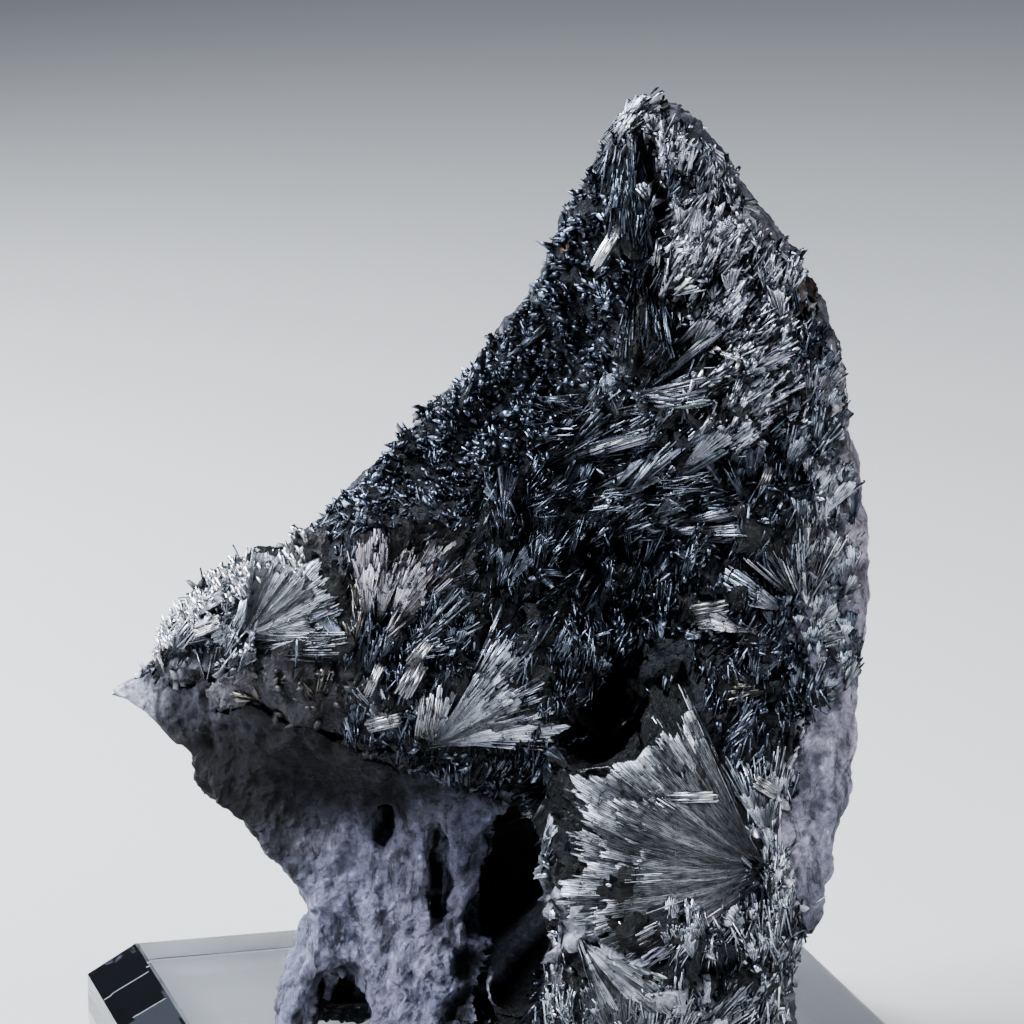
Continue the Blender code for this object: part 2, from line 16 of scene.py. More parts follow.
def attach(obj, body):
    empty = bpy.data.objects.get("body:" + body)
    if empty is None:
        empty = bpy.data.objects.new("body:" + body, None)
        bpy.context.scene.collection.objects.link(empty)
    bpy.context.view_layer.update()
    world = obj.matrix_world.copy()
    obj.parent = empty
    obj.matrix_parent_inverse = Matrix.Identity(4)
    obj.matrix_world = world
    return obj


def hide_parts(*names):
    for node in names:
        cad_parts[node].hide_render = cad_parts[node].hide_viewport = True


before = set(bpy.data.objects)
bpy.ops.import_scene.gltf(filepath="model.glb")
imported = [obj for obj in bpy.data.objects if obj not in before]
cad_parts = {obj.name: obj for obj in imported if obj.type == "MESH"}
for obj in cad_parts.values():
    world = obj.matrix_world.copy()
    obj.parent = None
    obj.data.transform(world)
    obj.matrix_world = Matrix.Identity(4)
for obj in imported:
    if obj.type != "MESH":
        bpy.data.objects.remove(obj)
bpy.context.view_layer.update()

MM = 0.001

# How the specimen stands on the block, as the solids have it
BLOCK_HEIGHT = 12.0
TOUCH_GAP = 0.3
DISPLAY_TURN = math.radians(-15.4)
TO_WORLD = Matrix.Translation((0.0, 0.0, (BLOCK_HEIGHT + TOUCH_GAP) * MM)) @ Matrix.Rotation(
    DISPLAY_TURN, 4, "Z"
)
TO_DISPLAY = TO_WORLD.inverted()

# Camera: a long lens a little above the specimen
CAMERA_PLACE = (-1.6, -417.6, 143.0)
CAMERA_PITCH = math.radians(12.9)
CAMERA_LENS = 167.3
SENSOR = 36.0

# Fineness of the remeshed surfaces
MASS_VOXEL = 0.46
CRUST_VOXEL = 0.45

# How far each surface swells past its solid, which closes the gap between crust and crystals
MASS_SWELL = 0.1
CRUST_SWELL = 0.15
CRUST_RISE = 0.4
CRUST_GRAIN = 0.11
MASS_GRAIN = 0.08

# Crystals of each kind: colour, needle width, needles in a clump, clump width, clump length (least, most),
# clumps to a square millimetre, splay. The bright steel and bright blade kinds are lit copies of steel and blade:
# their lighter colour is painted light
KINDS = {
    "silk": ((0.235, 0.25, 0.275), 0.13, 7, 0.9, (7.0, 14.0), 0.14, 0.008),
    "silk_grey": ((0.22, 0.235, 0.26), 0.13, 6, 0.9, (3.5, 8.0), 0.22, 0.012),
    "steel": ((0.070, 0.082, 0.108), 0.18, 5, 0.8, (2.0, 5.0), 0.45, 0.03),
    # Lit copy of steel: its lighter colour is painted light
    "steel_bright": ((0.155, 0.175, 0.215), 0.20, 5, 0.8, (2.0, 5.0), 0.45, 0.03),
    "column": ((0.21, 0.20, 0.225), 0.18, 7, 0.8, (2.5, 6.0), 0.5, 0.010),
    "blade": ((0.125, 0.14, 0.172), 0.20, 6, 1.0, (4.0, 10.0), 0.35, 0.012),
    # Lit copy of blade: its lighter colour is painted light
    "blade_painted_lit": ((0.23, 0.25, 0.295), 0.22, 6, 1.0, (3.5, 8.0), 0.4, 0.015),
    "pale": ((0.31, 0.335, 0.385), 0.17, 5, 1.0, (2.5, 6.0), 0.35, 0.02),
    "brown": ((0.16, 0.15, 0.135), 0.24, 4, 0.9, (1.5, 3.5), 0.4, 0.03),
    "mica": ((0.30, 0.315, 0.365), 0.36, 3, 0.9, (1.0, 2.8), 0.7, 0.05),
    "druse": ((0.085, 0.10, 0.135), 0.24, 4, 0.7, (0.9, 2.2), 1.0, 0.06),
}

# Fans: root x, z, tip x, z, half spread in degrees, lift of the tips, kind
FANS = [
    # left lobe
    (-25.7, 37.0, -17.6, 44.3, 42.0, 1.0, "silk"),
    (-25.0, 36.0, -15.6, 40.6, 26.0, 1.0, "silk_grey"),
    (-18.8, 31.8, -19.2, 35.6, 35.0, 0.8, "brown"),
    (-24.0, 31.0, -27.0, 34.0, 30.0, 0.8, "brown"),
    # columns above the lobe
    (-14.6, 38.6, -14.4, 46.6, 15.0, 2.0, "column"),
    (-13.6, 38.4, -11.4, 48.0, 13.0, 2.6, "column"),
    (-12.6, 39.0, -8.2, 47.4, 13.0, 2.2, "column"),
    (-13.0, 38.0, -5.4, 46.0, 14.0, 2.0, "column"),
    (-12.0, 36.0, -3.4, 41.8, 20.0, 2.0, "steel_bright"),
    (-15.5, 37.5, -16.5, 43.5, 20.0, 1.2, "brown"),
    # lower fan
    (-8.5, 29.0, 3.6, 35.0, 34.0, 2.4, "pale"),
    (-8.5, 29.0, -9.0, 36.0, 28.0, 2.0, "pale"),
    (-12.0, 29.5, -15.0, 35.0, 25.0, 1.5, "pale"),
    # bundles of the peak
    (8.0, 80.2, 7.9, 69.8, 9.0, 1.4, "steel"),
    (8.9, 80.5, 9.4, 69.6, 9.0, 1.8, "steel"),
    (9.4, 80.0, 10.8, 69.8, 8.0, 1.4, "steel"),
    (9.8, 69.2, 9.1, 59.4, 9.0, 1.6, "steel"),
    (10.7, 69.0, 10.9, 59.0, 10.0, 2.1, "steel"),
    (11.5, 68.4, 12.8, 59.8, 9.0, 1.6, "steel"),
    (6.8, 59.5, 7.8, 55.6, 45.0, 1.2, "steel_bright"),
    # ridges and blades of the upper right
    (1.0, 49.8, 16.2, 57.6, 11.0, 1.6, "blade"),
    (8.3, 48.6, 19.5, 58.5, 11.0, 2.0, "blade_painted_lit"),
    (13.5, 52.0, 23.5, 62.5, 14.0, 1.8, "mica"),
    (9.8, 58.4, 17.2, 60.0, 14.0, 1.2, "blade_painted_lit"),
    (14.3, 62.3, 18.4, 68.8, 18.0, 1.2, "mica"),
    (18.5, 60.4, 23.9, 63.9, 18.0, 1.2, "blade_painted_lit"),
    (16.3, 73.2, 21.3, 74.8, 20.0, 0.5, "silk_grey"),
    (15.0, 76.0, 13.2, 67.6, 24.0, 2.2, "mica"),
    (13.0, 82.2, 13.8, 77.0, 30.0, 0.4, "mica"),
    (22.8, 51.5, 26.0, 58.8, 18.0, 1.5, "steel_bright"),
    # right middle
    (11.1, 45.4, 20.5, 48.6, 13.0, 1.6, "blade_painted_lit"),
    (24.4, 39.6, 20.3, 48.0, 22.0, 1.8, "silk_grey"),
    (23.6, 39.5, 25.5, 47.5, 18.0, 1.4, "silk_grey"),
    (22.8, 39.4, 15.8, 43.4, 16.0, 1.8, "blade_painted_lit"),
    (19.8, 38.2, 13.7, 39.4, 14.0, 1.4, "column"),
    (15.8, 36.6, 15.8, 39.4, 100.0, 1.4, "steel_bright"),
    (17.0, 36.6, 21.8, 36.2, 22.0, 1.2, "steel"),
    (21.7, 33.5, 16.2, 33.6, 18.0, 1.4, "brown"),
    # valley
    (4.9, 34.8, 1.2, 38.8, 25.0, 1.6, "steel"),
    (7.5, 37.5, 7.0, 43.0, 35.0, 1.8, "steel"),
    (1.5, 41.5, 3.5, 48.0, 30.0, 1.8, "steel"),
    (4.5, 42.2, 8.5, 47.2, 25.0, 1.8, "steel_bright"),
    (-3.0, 40.0, -1.0, 45.5, 30.0, 1.6, "steel"),
    # near fans
    (0.0, 20.8, 10.0, 27.0, 30.0, 2.0, "silk"),
    (20.6, 18.6, 3.0, 27.0, 40.0, 2.0, "silk"),
    (20.6, 18.2, 1.0, 16.0, 22.0, 1.8, "silk"),
    (21.0, 21.0, 19.5, 30.0, 28.0, 1.6, "pale"),
    (4.3, 13.8, 11.2, 7.0, 28.0, 1.8, "silk"),
    (10.5, 2.9, 9.5, 12.2, 38.0, 2.0, "pale"),
    (8.6, 2.4, 6.2, 12.4, 20.0, 1.6, "silk"),
    (12.2, 3.0, 14.6, 12.6, 20.0, 1.9, "pale"),
    (14.0, 4.0, 20.0, 11.0, 24.0, 1.6, "pale"),
]

# Fans that lie over the thin edge of the crust, in the same order
EDGE_FANS = [
    (20.4, 17.8, 5.6, 10.4, 20.0, 1.2, "silk"),
    (20.9, 16.8, 14.8, 9.6, 20.0, 1.0, "silk"),
    (24.6, 39.6, 27.4, 48.0, 30.0, 1.0, "silk_grey"),
    (25.2, 46.5, 28.2, 53.0, 30.0, 1.0, "pale"),
    (25.4, 52.5, 27.6, 59.5, 30.0, 1.0, "steel_bright"),
    (24.8, 57.0, 26.8, 62.6, 30.0, 0.8, "mica"),
    (24.2, 36.0, 28.6, 39.6, 34.0, 1.0, "pale"),
    (20.6, 72.0, 23.8, 69.0, 30.0, 0.5, "mica"),
    (18.0, 75.5, 20.8, 73.6, 40.0, 0.5, "silk_grey"),
    (15.0, 81.0, 17.4, 77.4, 34.0, 0.5, "mica"),
    (23.6, 31.0, 27.0, 35.0, 34.0, 0.8, "pale"),
]

# Small fans over the right edge: how many places are tried, and where it is
EDGE_COUNT = 9000
EDGE_REACH = 7.5
EDGE_LOW = 31.0
EDGE_HIGH = 82.0
EDGE_MICA = 60.0
EDGE_CLEAR = 0.7

FAN_SLOPE = 0.55
FAN_JUMP = 2.5
FAN_ABOVE = 12.0

# Colour of the body where no fan reaches, and its darkness under the needles: both near black, painted shade
# that makes the gaps between crystals read black, over the mineral's own dark colour
BODY_TINT_AND_PAINTED_SHADE = (0.014, 0.0155, 0.020)
BODY_PAINTED_SHADE = 0.045

# Nothing of the specimen's dress reaches lower than this above the block
FOOT_CLEAR = 0.5
VIEWER = Vector((0.0, -1.0, 0.0))

# The way a face looks that throws the main light to the viewer, and the tone from which crystals are turned to it
GLINT = Vector((-0.37, -0.74, 0.56))
GLINT_TONE = 0.6

# Regions of the rest of the mass: centre x, z, half width, half height, heading in degrees, kind.
# The first region that holds a place is its own. Void regions are cavities, sunk and painted near black as their shade.
REGIONS = [
    (10.1, 80.0, 0.8, 1.6, 90.0, "void"),
    (10.9, 77.8, 1.1, 1.8, 90.0, "void"),
    (11.8, 75.4, 1.0, 1.5, 90.0, "void"),
    (21.0, 53.2, 0.7, 1.5, 90.0, "void"),
    (22.1, 55.6, 0.7, 1.6, 90.0, "void"),
    (23.3, 58.0, 0.7, 1.5, 90.0, "void"),
    (5.0, 28.2, 3.7, 2.7, 90.0, "void"),
    (8.2, 30.2, 2.7, 3.0, 90.0, "void"),
    (-2.5, 12.0, 5.0, 11.0, 90.0, "void"),
    (-12.5, 18.9, 1.9, 2.7, 90.0, "void"),
    (-7.8, 14.8, 1.9, 6.4, 90.0, "void"),
    (-16.4, 3.4, 4.2, 4.8, 90.0, "void"),
    (-29.0, 39.0, 8.0, 5.0, 60.0, "pale"),
    (9.5, 53.5, 8.5, 4.6, 32.0, "blade"),
    (12.0, 48.0, 7.0, 4.0, 28.0, "blade"),
    (1.5, 44.0, 9.0, 6.0, 62.0, "steel"),
    (25.0, 46.0, 4.0, 3.5, 70.0, "pale"),
    (27.0, 54.0, 3.5, 4.0, 60.0, "steel_bright"),
    (18.5, 70.0, 7.0, 9.0, 60.0, "mica"),
    (19.5, 58.0, 5.5, 4.2, 48.0, "mica"),
    (12.5, 82.0, 5.0, 3.5, 80.0, "mica"),
    (-23.0, 32.5, 10.0, 4.2, 60.0, "crusty"),
    (14.0, 12.0, 14.0, 16.0, 90.0, "pale"),
    (-2.0, 62.0, 12.0, 20.0, 100.0, "druse"),
    (-14.0, 49.0, 8.0, 4.0, 60.0, "druse"),
]
DEFAULT_HEADING = 75.0
DEFAULT_KIND = "steel"
# Near-black painted shade of the void regions' cavities
VOID_PAINTED_SHADE = (0.006, 0.006, 0.007)
VOID_SINK = 1.8

# Small fans between the named ones: how many places are tried, reach and lift (least, most), half spread
FILLER_COUNT = 2700
FILLER_REACH = (2.5, 6.0)
FILLER_SIZES = {"druse": 0.5, "mica": 0.75}
FILLER_LIFT = (0.3, 1.0)
FILLER_STRAY = 20.0
FILLER_SPREAD = (20.0, 44.0)
FILLER_SPREADS = {"mica": 0.5, "steel": 0.55, "blade": 0.35, "pale": 0.6}

# Plates of grown-together crystals on the fans. Each layer is its share of the fan's reach and its height.
PLATE_LAYERS = [(1.0, 0.12), (0.74, 0.5), (0.5, 0.85)]
SILK_LAYERS = [(1.0, 0.45), (0.8, 0.8)]
SILK_ENDS = (0.92, 1.0)
OPEN_SHARE = 0.6
STIFF_SHARE = 0.85
STEEP_SHARE = 0.6
LAYERED = ("column", "mica", "blade_painted_lit", "pale", "steel_bright")
PLATE_PITCH = 1.1
FINEST_PITCH = 0.2
PLATE_STEP = 1.4
PLATE_ENDS = (0.74, 1.0)
PLATE_DROP = 0.9
PLATE_LIMIT = 190000

GRAIN_COUNT = 60000
GRAIN_TOP = 80.5

# Flakes between the fans: how many places are tried, and by kind the share kept, greatest length and width
FLAKE_COUNT = 72000
FLAKES = {
    "mica": (1.0, 3.0, 0.5),
    "steel": (0.9, 3.2, 0.3),
    "blade": (0.9, 5.0, 0.28),
    "steel_bright": (0.8, 3.0, 0.35),
    "pale": (0.5, 4.0, 0.3),
}
CRUMB_COUNT = 16000
SPARKLE_COUNT = 12000
PIECE_LIMIT = 16000
RIND_REACH = 3.0

# Rim of blunt crystals along the top of the left lobe, coloured bright as a painted highlight: x, z
RIM = [(-33.5, 35.5), (-31.0, 38.5), (-28.5, 40.5), (-26.0, 42.0), (-23.0, 43.6), (-20.0, 44.4)]

# Broad crystals coloured bright as painted highlights: middle x, z, length, width, turn in degrees, tint
PAINTED_GLINT_BLADES = [
    (-28.4, 37.2, 2.6, 1.4, 20.0, 0.62),
    (-28.3, 38.9, 2.8, 1.3, 35.0, 0.62),
    (7.3, 70.6, 4.8, 1.0, 72.0, 0.93),
    (11.6, 70.6, 2.4, 0.7, 85.0, 0.45),
    (-10.6, 34.9, 3.6, 1.5, 62.0, 0.42),
    (-9.0, 31.8, 4.2, 2.0, 82.0, 0.36),
    (-12.8, 31.0, 3.6, 1.2, 15.0, 0.45),
    (-13.7, 34.6, 3.4, 0.8, 70.0, 0.42),
    (-9.6, 36.9, 2.8, 1.1, 55.0, 0.42),
    (18.2, 61.8, 2.0, 0.35, -28.0, 0.80),
    (20.8, 50.8, 2.4, 0.9, 65.0, 0.45),
    (16.2, 39.4, 3.6, 2.6, 12.0, 0.27),
    (26.8, 39.6, 2.0, 1.2, -20.0, 0.50),
    (26.6, 37.6, 2.2, 1.3, 10.0, 0.50),
    (14.3, 25.4, 4.6, 1.0, 2.0, 0.50),
    (14.6, 22.6, 3.6, 0.9, 14.0, 0.50),
    (20.5, 25.2, 2.4, 1.2, -30.0, 0.42),
]
BLADE_STRAND = 0.2

# Long straight bundles that stand out of the front: root x, z, tip x, z, width, tone
BUNDLES = [
    (1.0, 49.4, 13.0, 56.0, 1.5, 1.0),
    (7.5, 55.8, 15.8, 59.2, 1.5, 1.1),
    (10.9, 59.2, 18.0, 65.2, 1.0, 1.3),
    (8.3, 48.2, 14.9, 55.9, 0.9, 1.7),
    (9.6, 48.0, 17.4, 54.6, 1.5, 0.7),
    (5.0, 47.9, 11.1, 51.6, 1.5, 0.6),
    (3.3, 50.9, 6.8, 56.2, 1.4, 0.6),
    (11.7, 45.6, 19.4, 48.9, 1.3, 1.1),
    (17.2, 59.8, 23.6, 63.4, 1.6, 1.1),
    (14.6, 55.6, 21.0, 60.4, 1.3, 1.2),
    (20.2, 53.0, 23.6, 56.6, 1.2, 1.0),
    (12.6, 62.0, 16.4, 66.2, 0.9, 0.9),
    (-6.5, 54.7, -3.9, 60.0, 0.8, 1.1),
    (-1.9, 59.5, 1.6, 62.8, 0.8, 1.1),
    (20.3, 17.4, 9.4, 12.4, 1.2, 2.0),
    (19.6, 18.8, 12.0, 26.4, 1.0, 2.0),
    (-23.5, 36.6, -16.4, 40.0, 1.2, 1.1),
]
BUNDLE_TINT = (0.19, 0.205, 0.245)
BUNDLE_STRAND = 0.15

# Ridges of pale crust over the crystals: from x, z to x, z, half width, height, tone
RIDGES = [
    (4.7, 14.3, -3.9, 4.1, 0.6, 1.1, 1.1),
    (3.2, 15.9, 12.6, 9.2, 0.5, 1.1, 1.2),
    (1.6, 19.5, 2.2, 12.8, 0.4, 0.7, 0.9),
    (14.5, 10.0, 15.5, 2.0, 0.5, 0.8, 1.0),
]
RIDGE_TINT = (0.30, 0.305, 0.36)

# Hollows, sunk and recoloured: x, z, radius, sink, colour. The five near-black ones by the strand are painted
# shade of its cavity; the others are stained or smooth
HOLLOWS = [
    (25.0, 66.4, 2.5, 0.9, (0.060, 0.044, 0.036)),
    (26.2, 45.0, 1.9, 0.8, (0.045, 0.045, 0.050)),
    (-27.5, 33.8, 1.3, 0.9, (0.030, 0.028, 0.032)),
    (-30.2, 32.6, 0.9, 0.6, (0.045, 0.042, 0.048)),
    (3.2, 69.8, 0.5, 0.0, (0.30, 0.10, 0.03)),
    # Painted shade of the cavity beside the strand
    (-2.4, 18.0, 1.9, 1.5, (0.010, 0.010, 0.012)),
    (-2.6, 14.2, 2.3, 1.6, (0.010, 0.010, 0.012)),
    (-3.8, 10.2, 2.3, 1.6, (0.010, 0.010, 0.012)),
    (-5.4, 6.4, 2.0, 1.4, (0.010, 0.010, 0.012)),
    (-5.6, 2.4, 2.6, 1.6, (0.010, 0.010, 0.012)),
]

# Sharp tip of the left lobe: its line starts at x, falls to the tip's z, and the surface is squeezed towards it
LOBE_TIP = (-31.5, -37.0, 30.4)
TIP_SLOPE = 0.25
TIP_SQUEEZE = 0.85

# How far the right edge is drawn in, by height, and how deep into the specimen that reaches
EDGE_TRIM = [
    (6.0, 0.3), (15.0, 0.5), (19.0, 1.0), (24.0, 0.7), (32.0, 0.6), (45.0, 0.8), (49.5, 1.1), (55.0, 0.7),
    (60.0, 0.4), (64.5, 1.0), (70.0, 0.2), (74.0, 0.2), (77.5, 1.2), (81.0, 1.0), (84.0, 0.0),
]
EDGE_DEPTH = 8.0


# Node helpers


def new_material(name):
    """Make a Principled material and return it with its shader and node tree."""
    material = bpy.data.materials.new(name)
    material.use_nodes = True
    return material, material.node_tree.nodes["Principled BSDF"], material.node_tree


def add_node(tree, kind, inputs=None, **settings):
    """Add a node, with its settings and the values of its inputs."""
    node = tree.nodes.new(kind)
    for key, value in settings.items():
        setattr(node, key, value)
    for key, value in (inputs or {}).items():
        node.inputs[key].default_value = value
    return node


def noise_node(tree, vector, scale, detail=4.0, roughness=0.6, distortion=0.0):
    """Add a noise texture at a scale given per metre."""
    node = add_node(
        tree,
        "ShaderNodeTexNoise",
        {"Scale": scale, "Detail": detail, "Roughness": roughness, "Distortion": distortion},
    )
    tree.links.new(vector, node.inputs["Vector"])
    return node.outputs["Fac"]


def ramp(tree, factor, stops):
    """Add a colour ramp with stops given as place and grey value or colour."""
    node = add_node(tree, "ShaderNodeValToRGB")
    elements = node.color_ramp.elements
    while len(elements) < len(stops):
        elements.new(0.5)
    for element, (place, colour) in zip(elements, stops):
        element.position = place
        element.color = (*colour, 1.0) if isinstance(colour, tuple) else (colour, colour, colour, 1.0)
    tree.links.new(factor, node.inputs["Fac"])
    return node.outputs["Color"]


def mix_colour(tree, factor, first, second, blend="MIX"):
    """Mix two colours, or multiply them, by a factor that is a number or a socket."""
    node = add_node(tree, "ShaderNodeMix", data_type="RGBA", blend_type=blend)
    for socket, value in ((node.inputs[0], factor), (node.inputs[6], first), (node.inputs[7], second)):
        if isinstance(value, bpy.types.NodeSocket):
            tree.links.new(value, socket)
        else:
            socket.default_value = value if isinstance(value, float) else (*value, 1.0)
    return node.outputs[2]


def add_bump(tree, shader, height, distance, strength):
    """Drive a shader's normal by a height in metres."""
    node = add_node(tree, "ShaderNodeBump", {"Strength": strength, "Distance": distance})
    tree.links.new(height, node.inputs["Height"])
    tree.links.new(node.outputs["Normal"], shader.inputs["Normal"])


def object_place(tree):
    """Give the socket of the place on the object."""
    return add_node(tree, "ShaderNodeTexCoord").outputs["Object"]


def stretched(tree, place):
    """Give the place squeezed in height, so that a pattern on it runs upright."""
    node = add_node(tree, "ShaderNodeVectorMath", {1: (1.0, 1.0, 0.4)}, operation="MULTIPLY")
    tree.links.new(place, node.inputs[0])
    return node.outputs["Vector"]


def attribute(tree, name, output="Color"):
    """Give the socket of a mesh attribute."""
    return add_node(tree, "ShaderNodeAttribute", attribute_name=name).outputs[output]


def body_material():
    """Fibrous dark crystal of the body under the needles, its tint darkened as painted shade in the gaps, voids and
    black hollows, and crust where it creeps over the body.
    """
    material, shader, tree = new_material("mass_look")
    place = object_place(tree)
    creep = attribute(tree, "creep", "Fac")
    grain = noise_node(tree, place, 1800.0, 4.0, 0.7)
    fibres = noise_node(tree, attribute(tree, "fibre", "Vector"), 5.0, 3.0, 0.7)
    fibres = mix_colour(tree, creep, fibres, (0.5, 0.5, 0.5))
    colour = mix_colour(tree, 1.0, attribute(tree, "tint"), ramp(tree, fibres, [(0.35, 0.4), (0.62, 1.7)]), "MULTIPLY")
    colour = mix_colour(tree, 1.0, colour, ramp(tree, grain, [(0.35, 0.6), (0.7, 1.6)]), "MULTIPLY")
    tree.links.new(colour, shader.inputs["Base Color"])
    tree.links.new(ramp(tree, creep, [(0.0, 0.25), (1.0, 0.1)]), shader.inputs["Metallic"])
    tree.links.new(ramp(tree, grain, [(0.4, 0.35), (0.6, 0.70)]), shader.inputs["Roughness"])
    shader.inputs["Specular IOR Level"].default_value = 0.2
    relief = ramp(tree, mix_colour(tree, 0.5, fibres, grain), [(0.42, 0.0), (0.58, 1.0)])
    add_bump(tree, shader, relief, 0.25 * MM, 1.0)
    return material


def needle_material():
    """Metallic crystal in the colour that each needle carries, with the painted shade and highlights that the colour
    holds.
    """
    material, shader, tree = new_material("needle_look")
    place = object_place(tree)
    grain = noise_node(tree, place, 1600.0, 3.0)
    shade = ramp(tree, grain, [(0.3, 0.65), (0.7, 1.3)])
    tree.links.new(mix_colour(tree, 1.0, attribute(tree, "tint"), shade, "MULTIPLY"), shader.inputs["Base Color"])
    shader.inputs["Metallic"].default_value = 1.0
    tree.links.new(ramp(tree, grain, [(0.3, 0.18), (0.7, 0.42)]), shader.inputs["Roughness"])
    return material


def plate_material():
    """Metallic crystal in the colour of its fibre, which holds painted shade in the grooves and towards the root,
    finely streaked along it.
    """
    material, shader, tree = new_material("plate_look")
    streaks = noise_node(tree, attribute(tree, "fibre", "Vector"), 7.0, 4.0, 0.7)
    grain = noise_node(tree, object_place(tree), 1500.0, 3.0)
    colour = mix_colour(tree, 1.0, attribute(tree, "tint"), ramp(tree, streaks, [(0.42, 0.35), (0.58, 1.6)]), "MULTIPLY")
    colour = mix_colour(tree, 1.0, colour, ramp(tree, grain, [(0.3, 0.75), (0.7, 1.25)]), "MULTIPLY")
    tree.links.new(colour, shader.inputs["Base Color"])
    shader.inputs["Metallic"].default_value = 1.0
    tree.links.new(ramp(tree, grain, [(0.3, 0.22), (0.7, 0.45)]), shader.inputs["Roughness"])
    add_bump(tree, shader, streaks, 0.12 * MM, 0.8)
    return material


def crumb_material():
    """Matt grains in the crust's colours."""
    material, shader, tree = new_material("crumb_look")
    grain = noise_node(tree, object_place(tree), 1500.0, 4.0, 0.7)
    shade = ramp(tree, grain, [(0.3, 0.6), (0.7, 1.4)])
    tree.links.new(mix_colour(tree, 1.0, attribute(tree, "tint"), shade, "MULTIPLY"), shader.inputs["Base Color"])
    shader.inputs["Roughness"].default_value = 0.5
    shader.inputs["Metallic"].default_value = 0.2
    return material


def crust_material():
    """Lavender-grey crust, whiter on its bumps, dark in its pits as painted shade, and coloured by place, with painted
    shade under the left lobe and a painted highlight at its tip.
    """
    material, shader, tree = new_material("crust_look")
    place = object_place(tree)
    patches = noise_node(tree, place, 130.0, 6.0, 0.65, 0.3)
    grain = noise_node(tree, place, 1300.0, 8.0, 0.8)
    pits = noise_node(tree, stretched(tree, place), 620.0, 6.0, 0.7, 0.5)
    base = ramp(
        tree,
        patches,
        [(0.32, (0.45, 0.47, 0.56)), (0.5, (0.80, 0.80, 0.92)), (0.68, (1.08, 1.0, 1.06))],
    )
    # Painted shade: darker in the low places of the pits
    speck = ramp(tree, pits, [(0.40, 0.22), (0.47, 0.80), (0.55, 1.05), (0.62, 1.50)])
    colour = mix_colour(tree, 1.0, base, speck, "MULTIPLY")
    fine = ramp(tree, grain, [(0.42, 0.60), (0.58, 1.25)])
    colour = mix_colour(tree, 1.0, colour, fine, "MULTIPLY")
    # The shade attribute holds the crust's colour by place with its painted shade and highlight
    colour = mix_colour(tree, 1.0, colour, attribute(tree, "shade"), "MULTIPLY")
    tree.links.new(colour, shader.inputs["Base Color"])
    tree.links.new(ramp(tree, grain, [(0.3, 0.45), (0.7, 0.9)]), shader.inputs["Roughness"])
    shader.inputs["Metallic"].default_value = 0.15
    shader.inputs["Specular IOR Level"].default_value = 0.25
    relief = ramp(tree, mix_colour(tree, 0.4, grain, pits), [(0.40, 0.0), (0.60, 1.0)])
    add_bump(tree, shader, relief, 0.35 * MM, 1.0)
    return material


def acrylic_material():
    """Clear polished acrylic."""
    material, shader, tree = new_material("acrylic_look")
    haze = noise_node(tree, object_place(tree), 160.0, 4.0)
    tree.links.new(ramp(tree, haze, [(0.45, 0.015), (0.8, 0.07)]), shader.inputs["Roughness"])
    shader.inputs["Base Color"].default_value = (0.97, 0.985, 1.0, 1.0)
    shader.inputs["Transmission Weight"].default_value = 1.0
    shader.inputs["IOR"].default_value = 1.49
    return material


def floor_material():
    """Plain pale floor."""
    material, shader, tree = new_material("floor_look")
    faint = noise_node(tree, object_place(tree), 6.0, 2.0)
    tree.links.new(ramp(tree, faint, [(0.3, 0.60), (0.7, 0.63)]), shader.inputs["Base Color"])
    shader.inputs["Roughness"].default_value = 0.9
    return material


# Mesh helpers


def welded_copy(node, name):
    """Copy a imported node's mesh to a new object, with its split points joined."""
    mesh_data = bmesh.new()
    mesh_data.from_mesh(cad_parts[node].data)
    bmesh.ops.remove_doubles(mesh_data, verts=mesh_data.verts, dist=1e-7)
    mesh = bpy.data.meshes.new(name)
    mesh_data.to_mesh(mesh)
    mesh_data.free()
    obj = bpy.data.objects.new(name, mesh)
    bpy.context.scene.collection.objects.link(obj)
    return obj


def bake(obj):
    """Replace an object's mesh by its evaluated mesh, without modifiers."""
    bpy.context.view_layer.update()
    depsgraph = bpy.context.evaluated_depsgraph_get()
    mesh = bpy.data.meshes.new_from_object(obj.evaluated_get(depsgraph))
    obj.modifiers.clear()
    obj.data = mesh


def remesh(obj, voxel):
    """Rebuild a closed mesh from voxels of one size, in millimetres."""
    modifier = obj.modifiers.new("voxels", "REMESH")
    modifier.mode = "VOXEL"
    modifier.voxel_size = voxel * MM
    bake(obj)


def points_of(mesh):
    """Read a mesh's points as an array in metres."""
    flat = np.empty(len(mesh.vertices) * 3, np.float32)
    mesh.vertices.foreach_get("co", flat)
    return flat.reshape(-1, 3).astype(float)


def normals_of(mesh):
    """Read a mesh's point normals as an array."""
    flat = np.empty(len(mesh.vertices) * 3, np.float32)
    mesh.vertex_normals.foreach_get("vector", flat)
    return flat.reshape(-1, 3).astype(float)


def set_points(mesh, points):
    """Write a mesh's points."""
    mesh.vertices.foreach_set("co", points.astype(np.float32).ravel())
    mesh.update()


def push_out(obj, heights):
    """Move a mesh's points along their normals by heights in millimetres."""
    points = points_of(obj.data)
    set_points(obj.data, points + normals_of(obj.data) * heights[:, None] * MM)


def display_points(mesh):
    """Give a mesh's points in the display frame, in millimetres."""
    matrix = np.array(TO_DISPLAY)
    return (points_of(mesh) @ matrix[:3, :3].T + matrix[:3, 3]) / MM


def finish_piece(obj, material, node_slot, *nodes):
    """Give a piece its material and tie it to the frame."""
    obj.data.materials.clear()
    obj.data.materials.append(material)
    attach(obj, "root")
    if nodes:
        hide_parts(*nodes)


# Needles


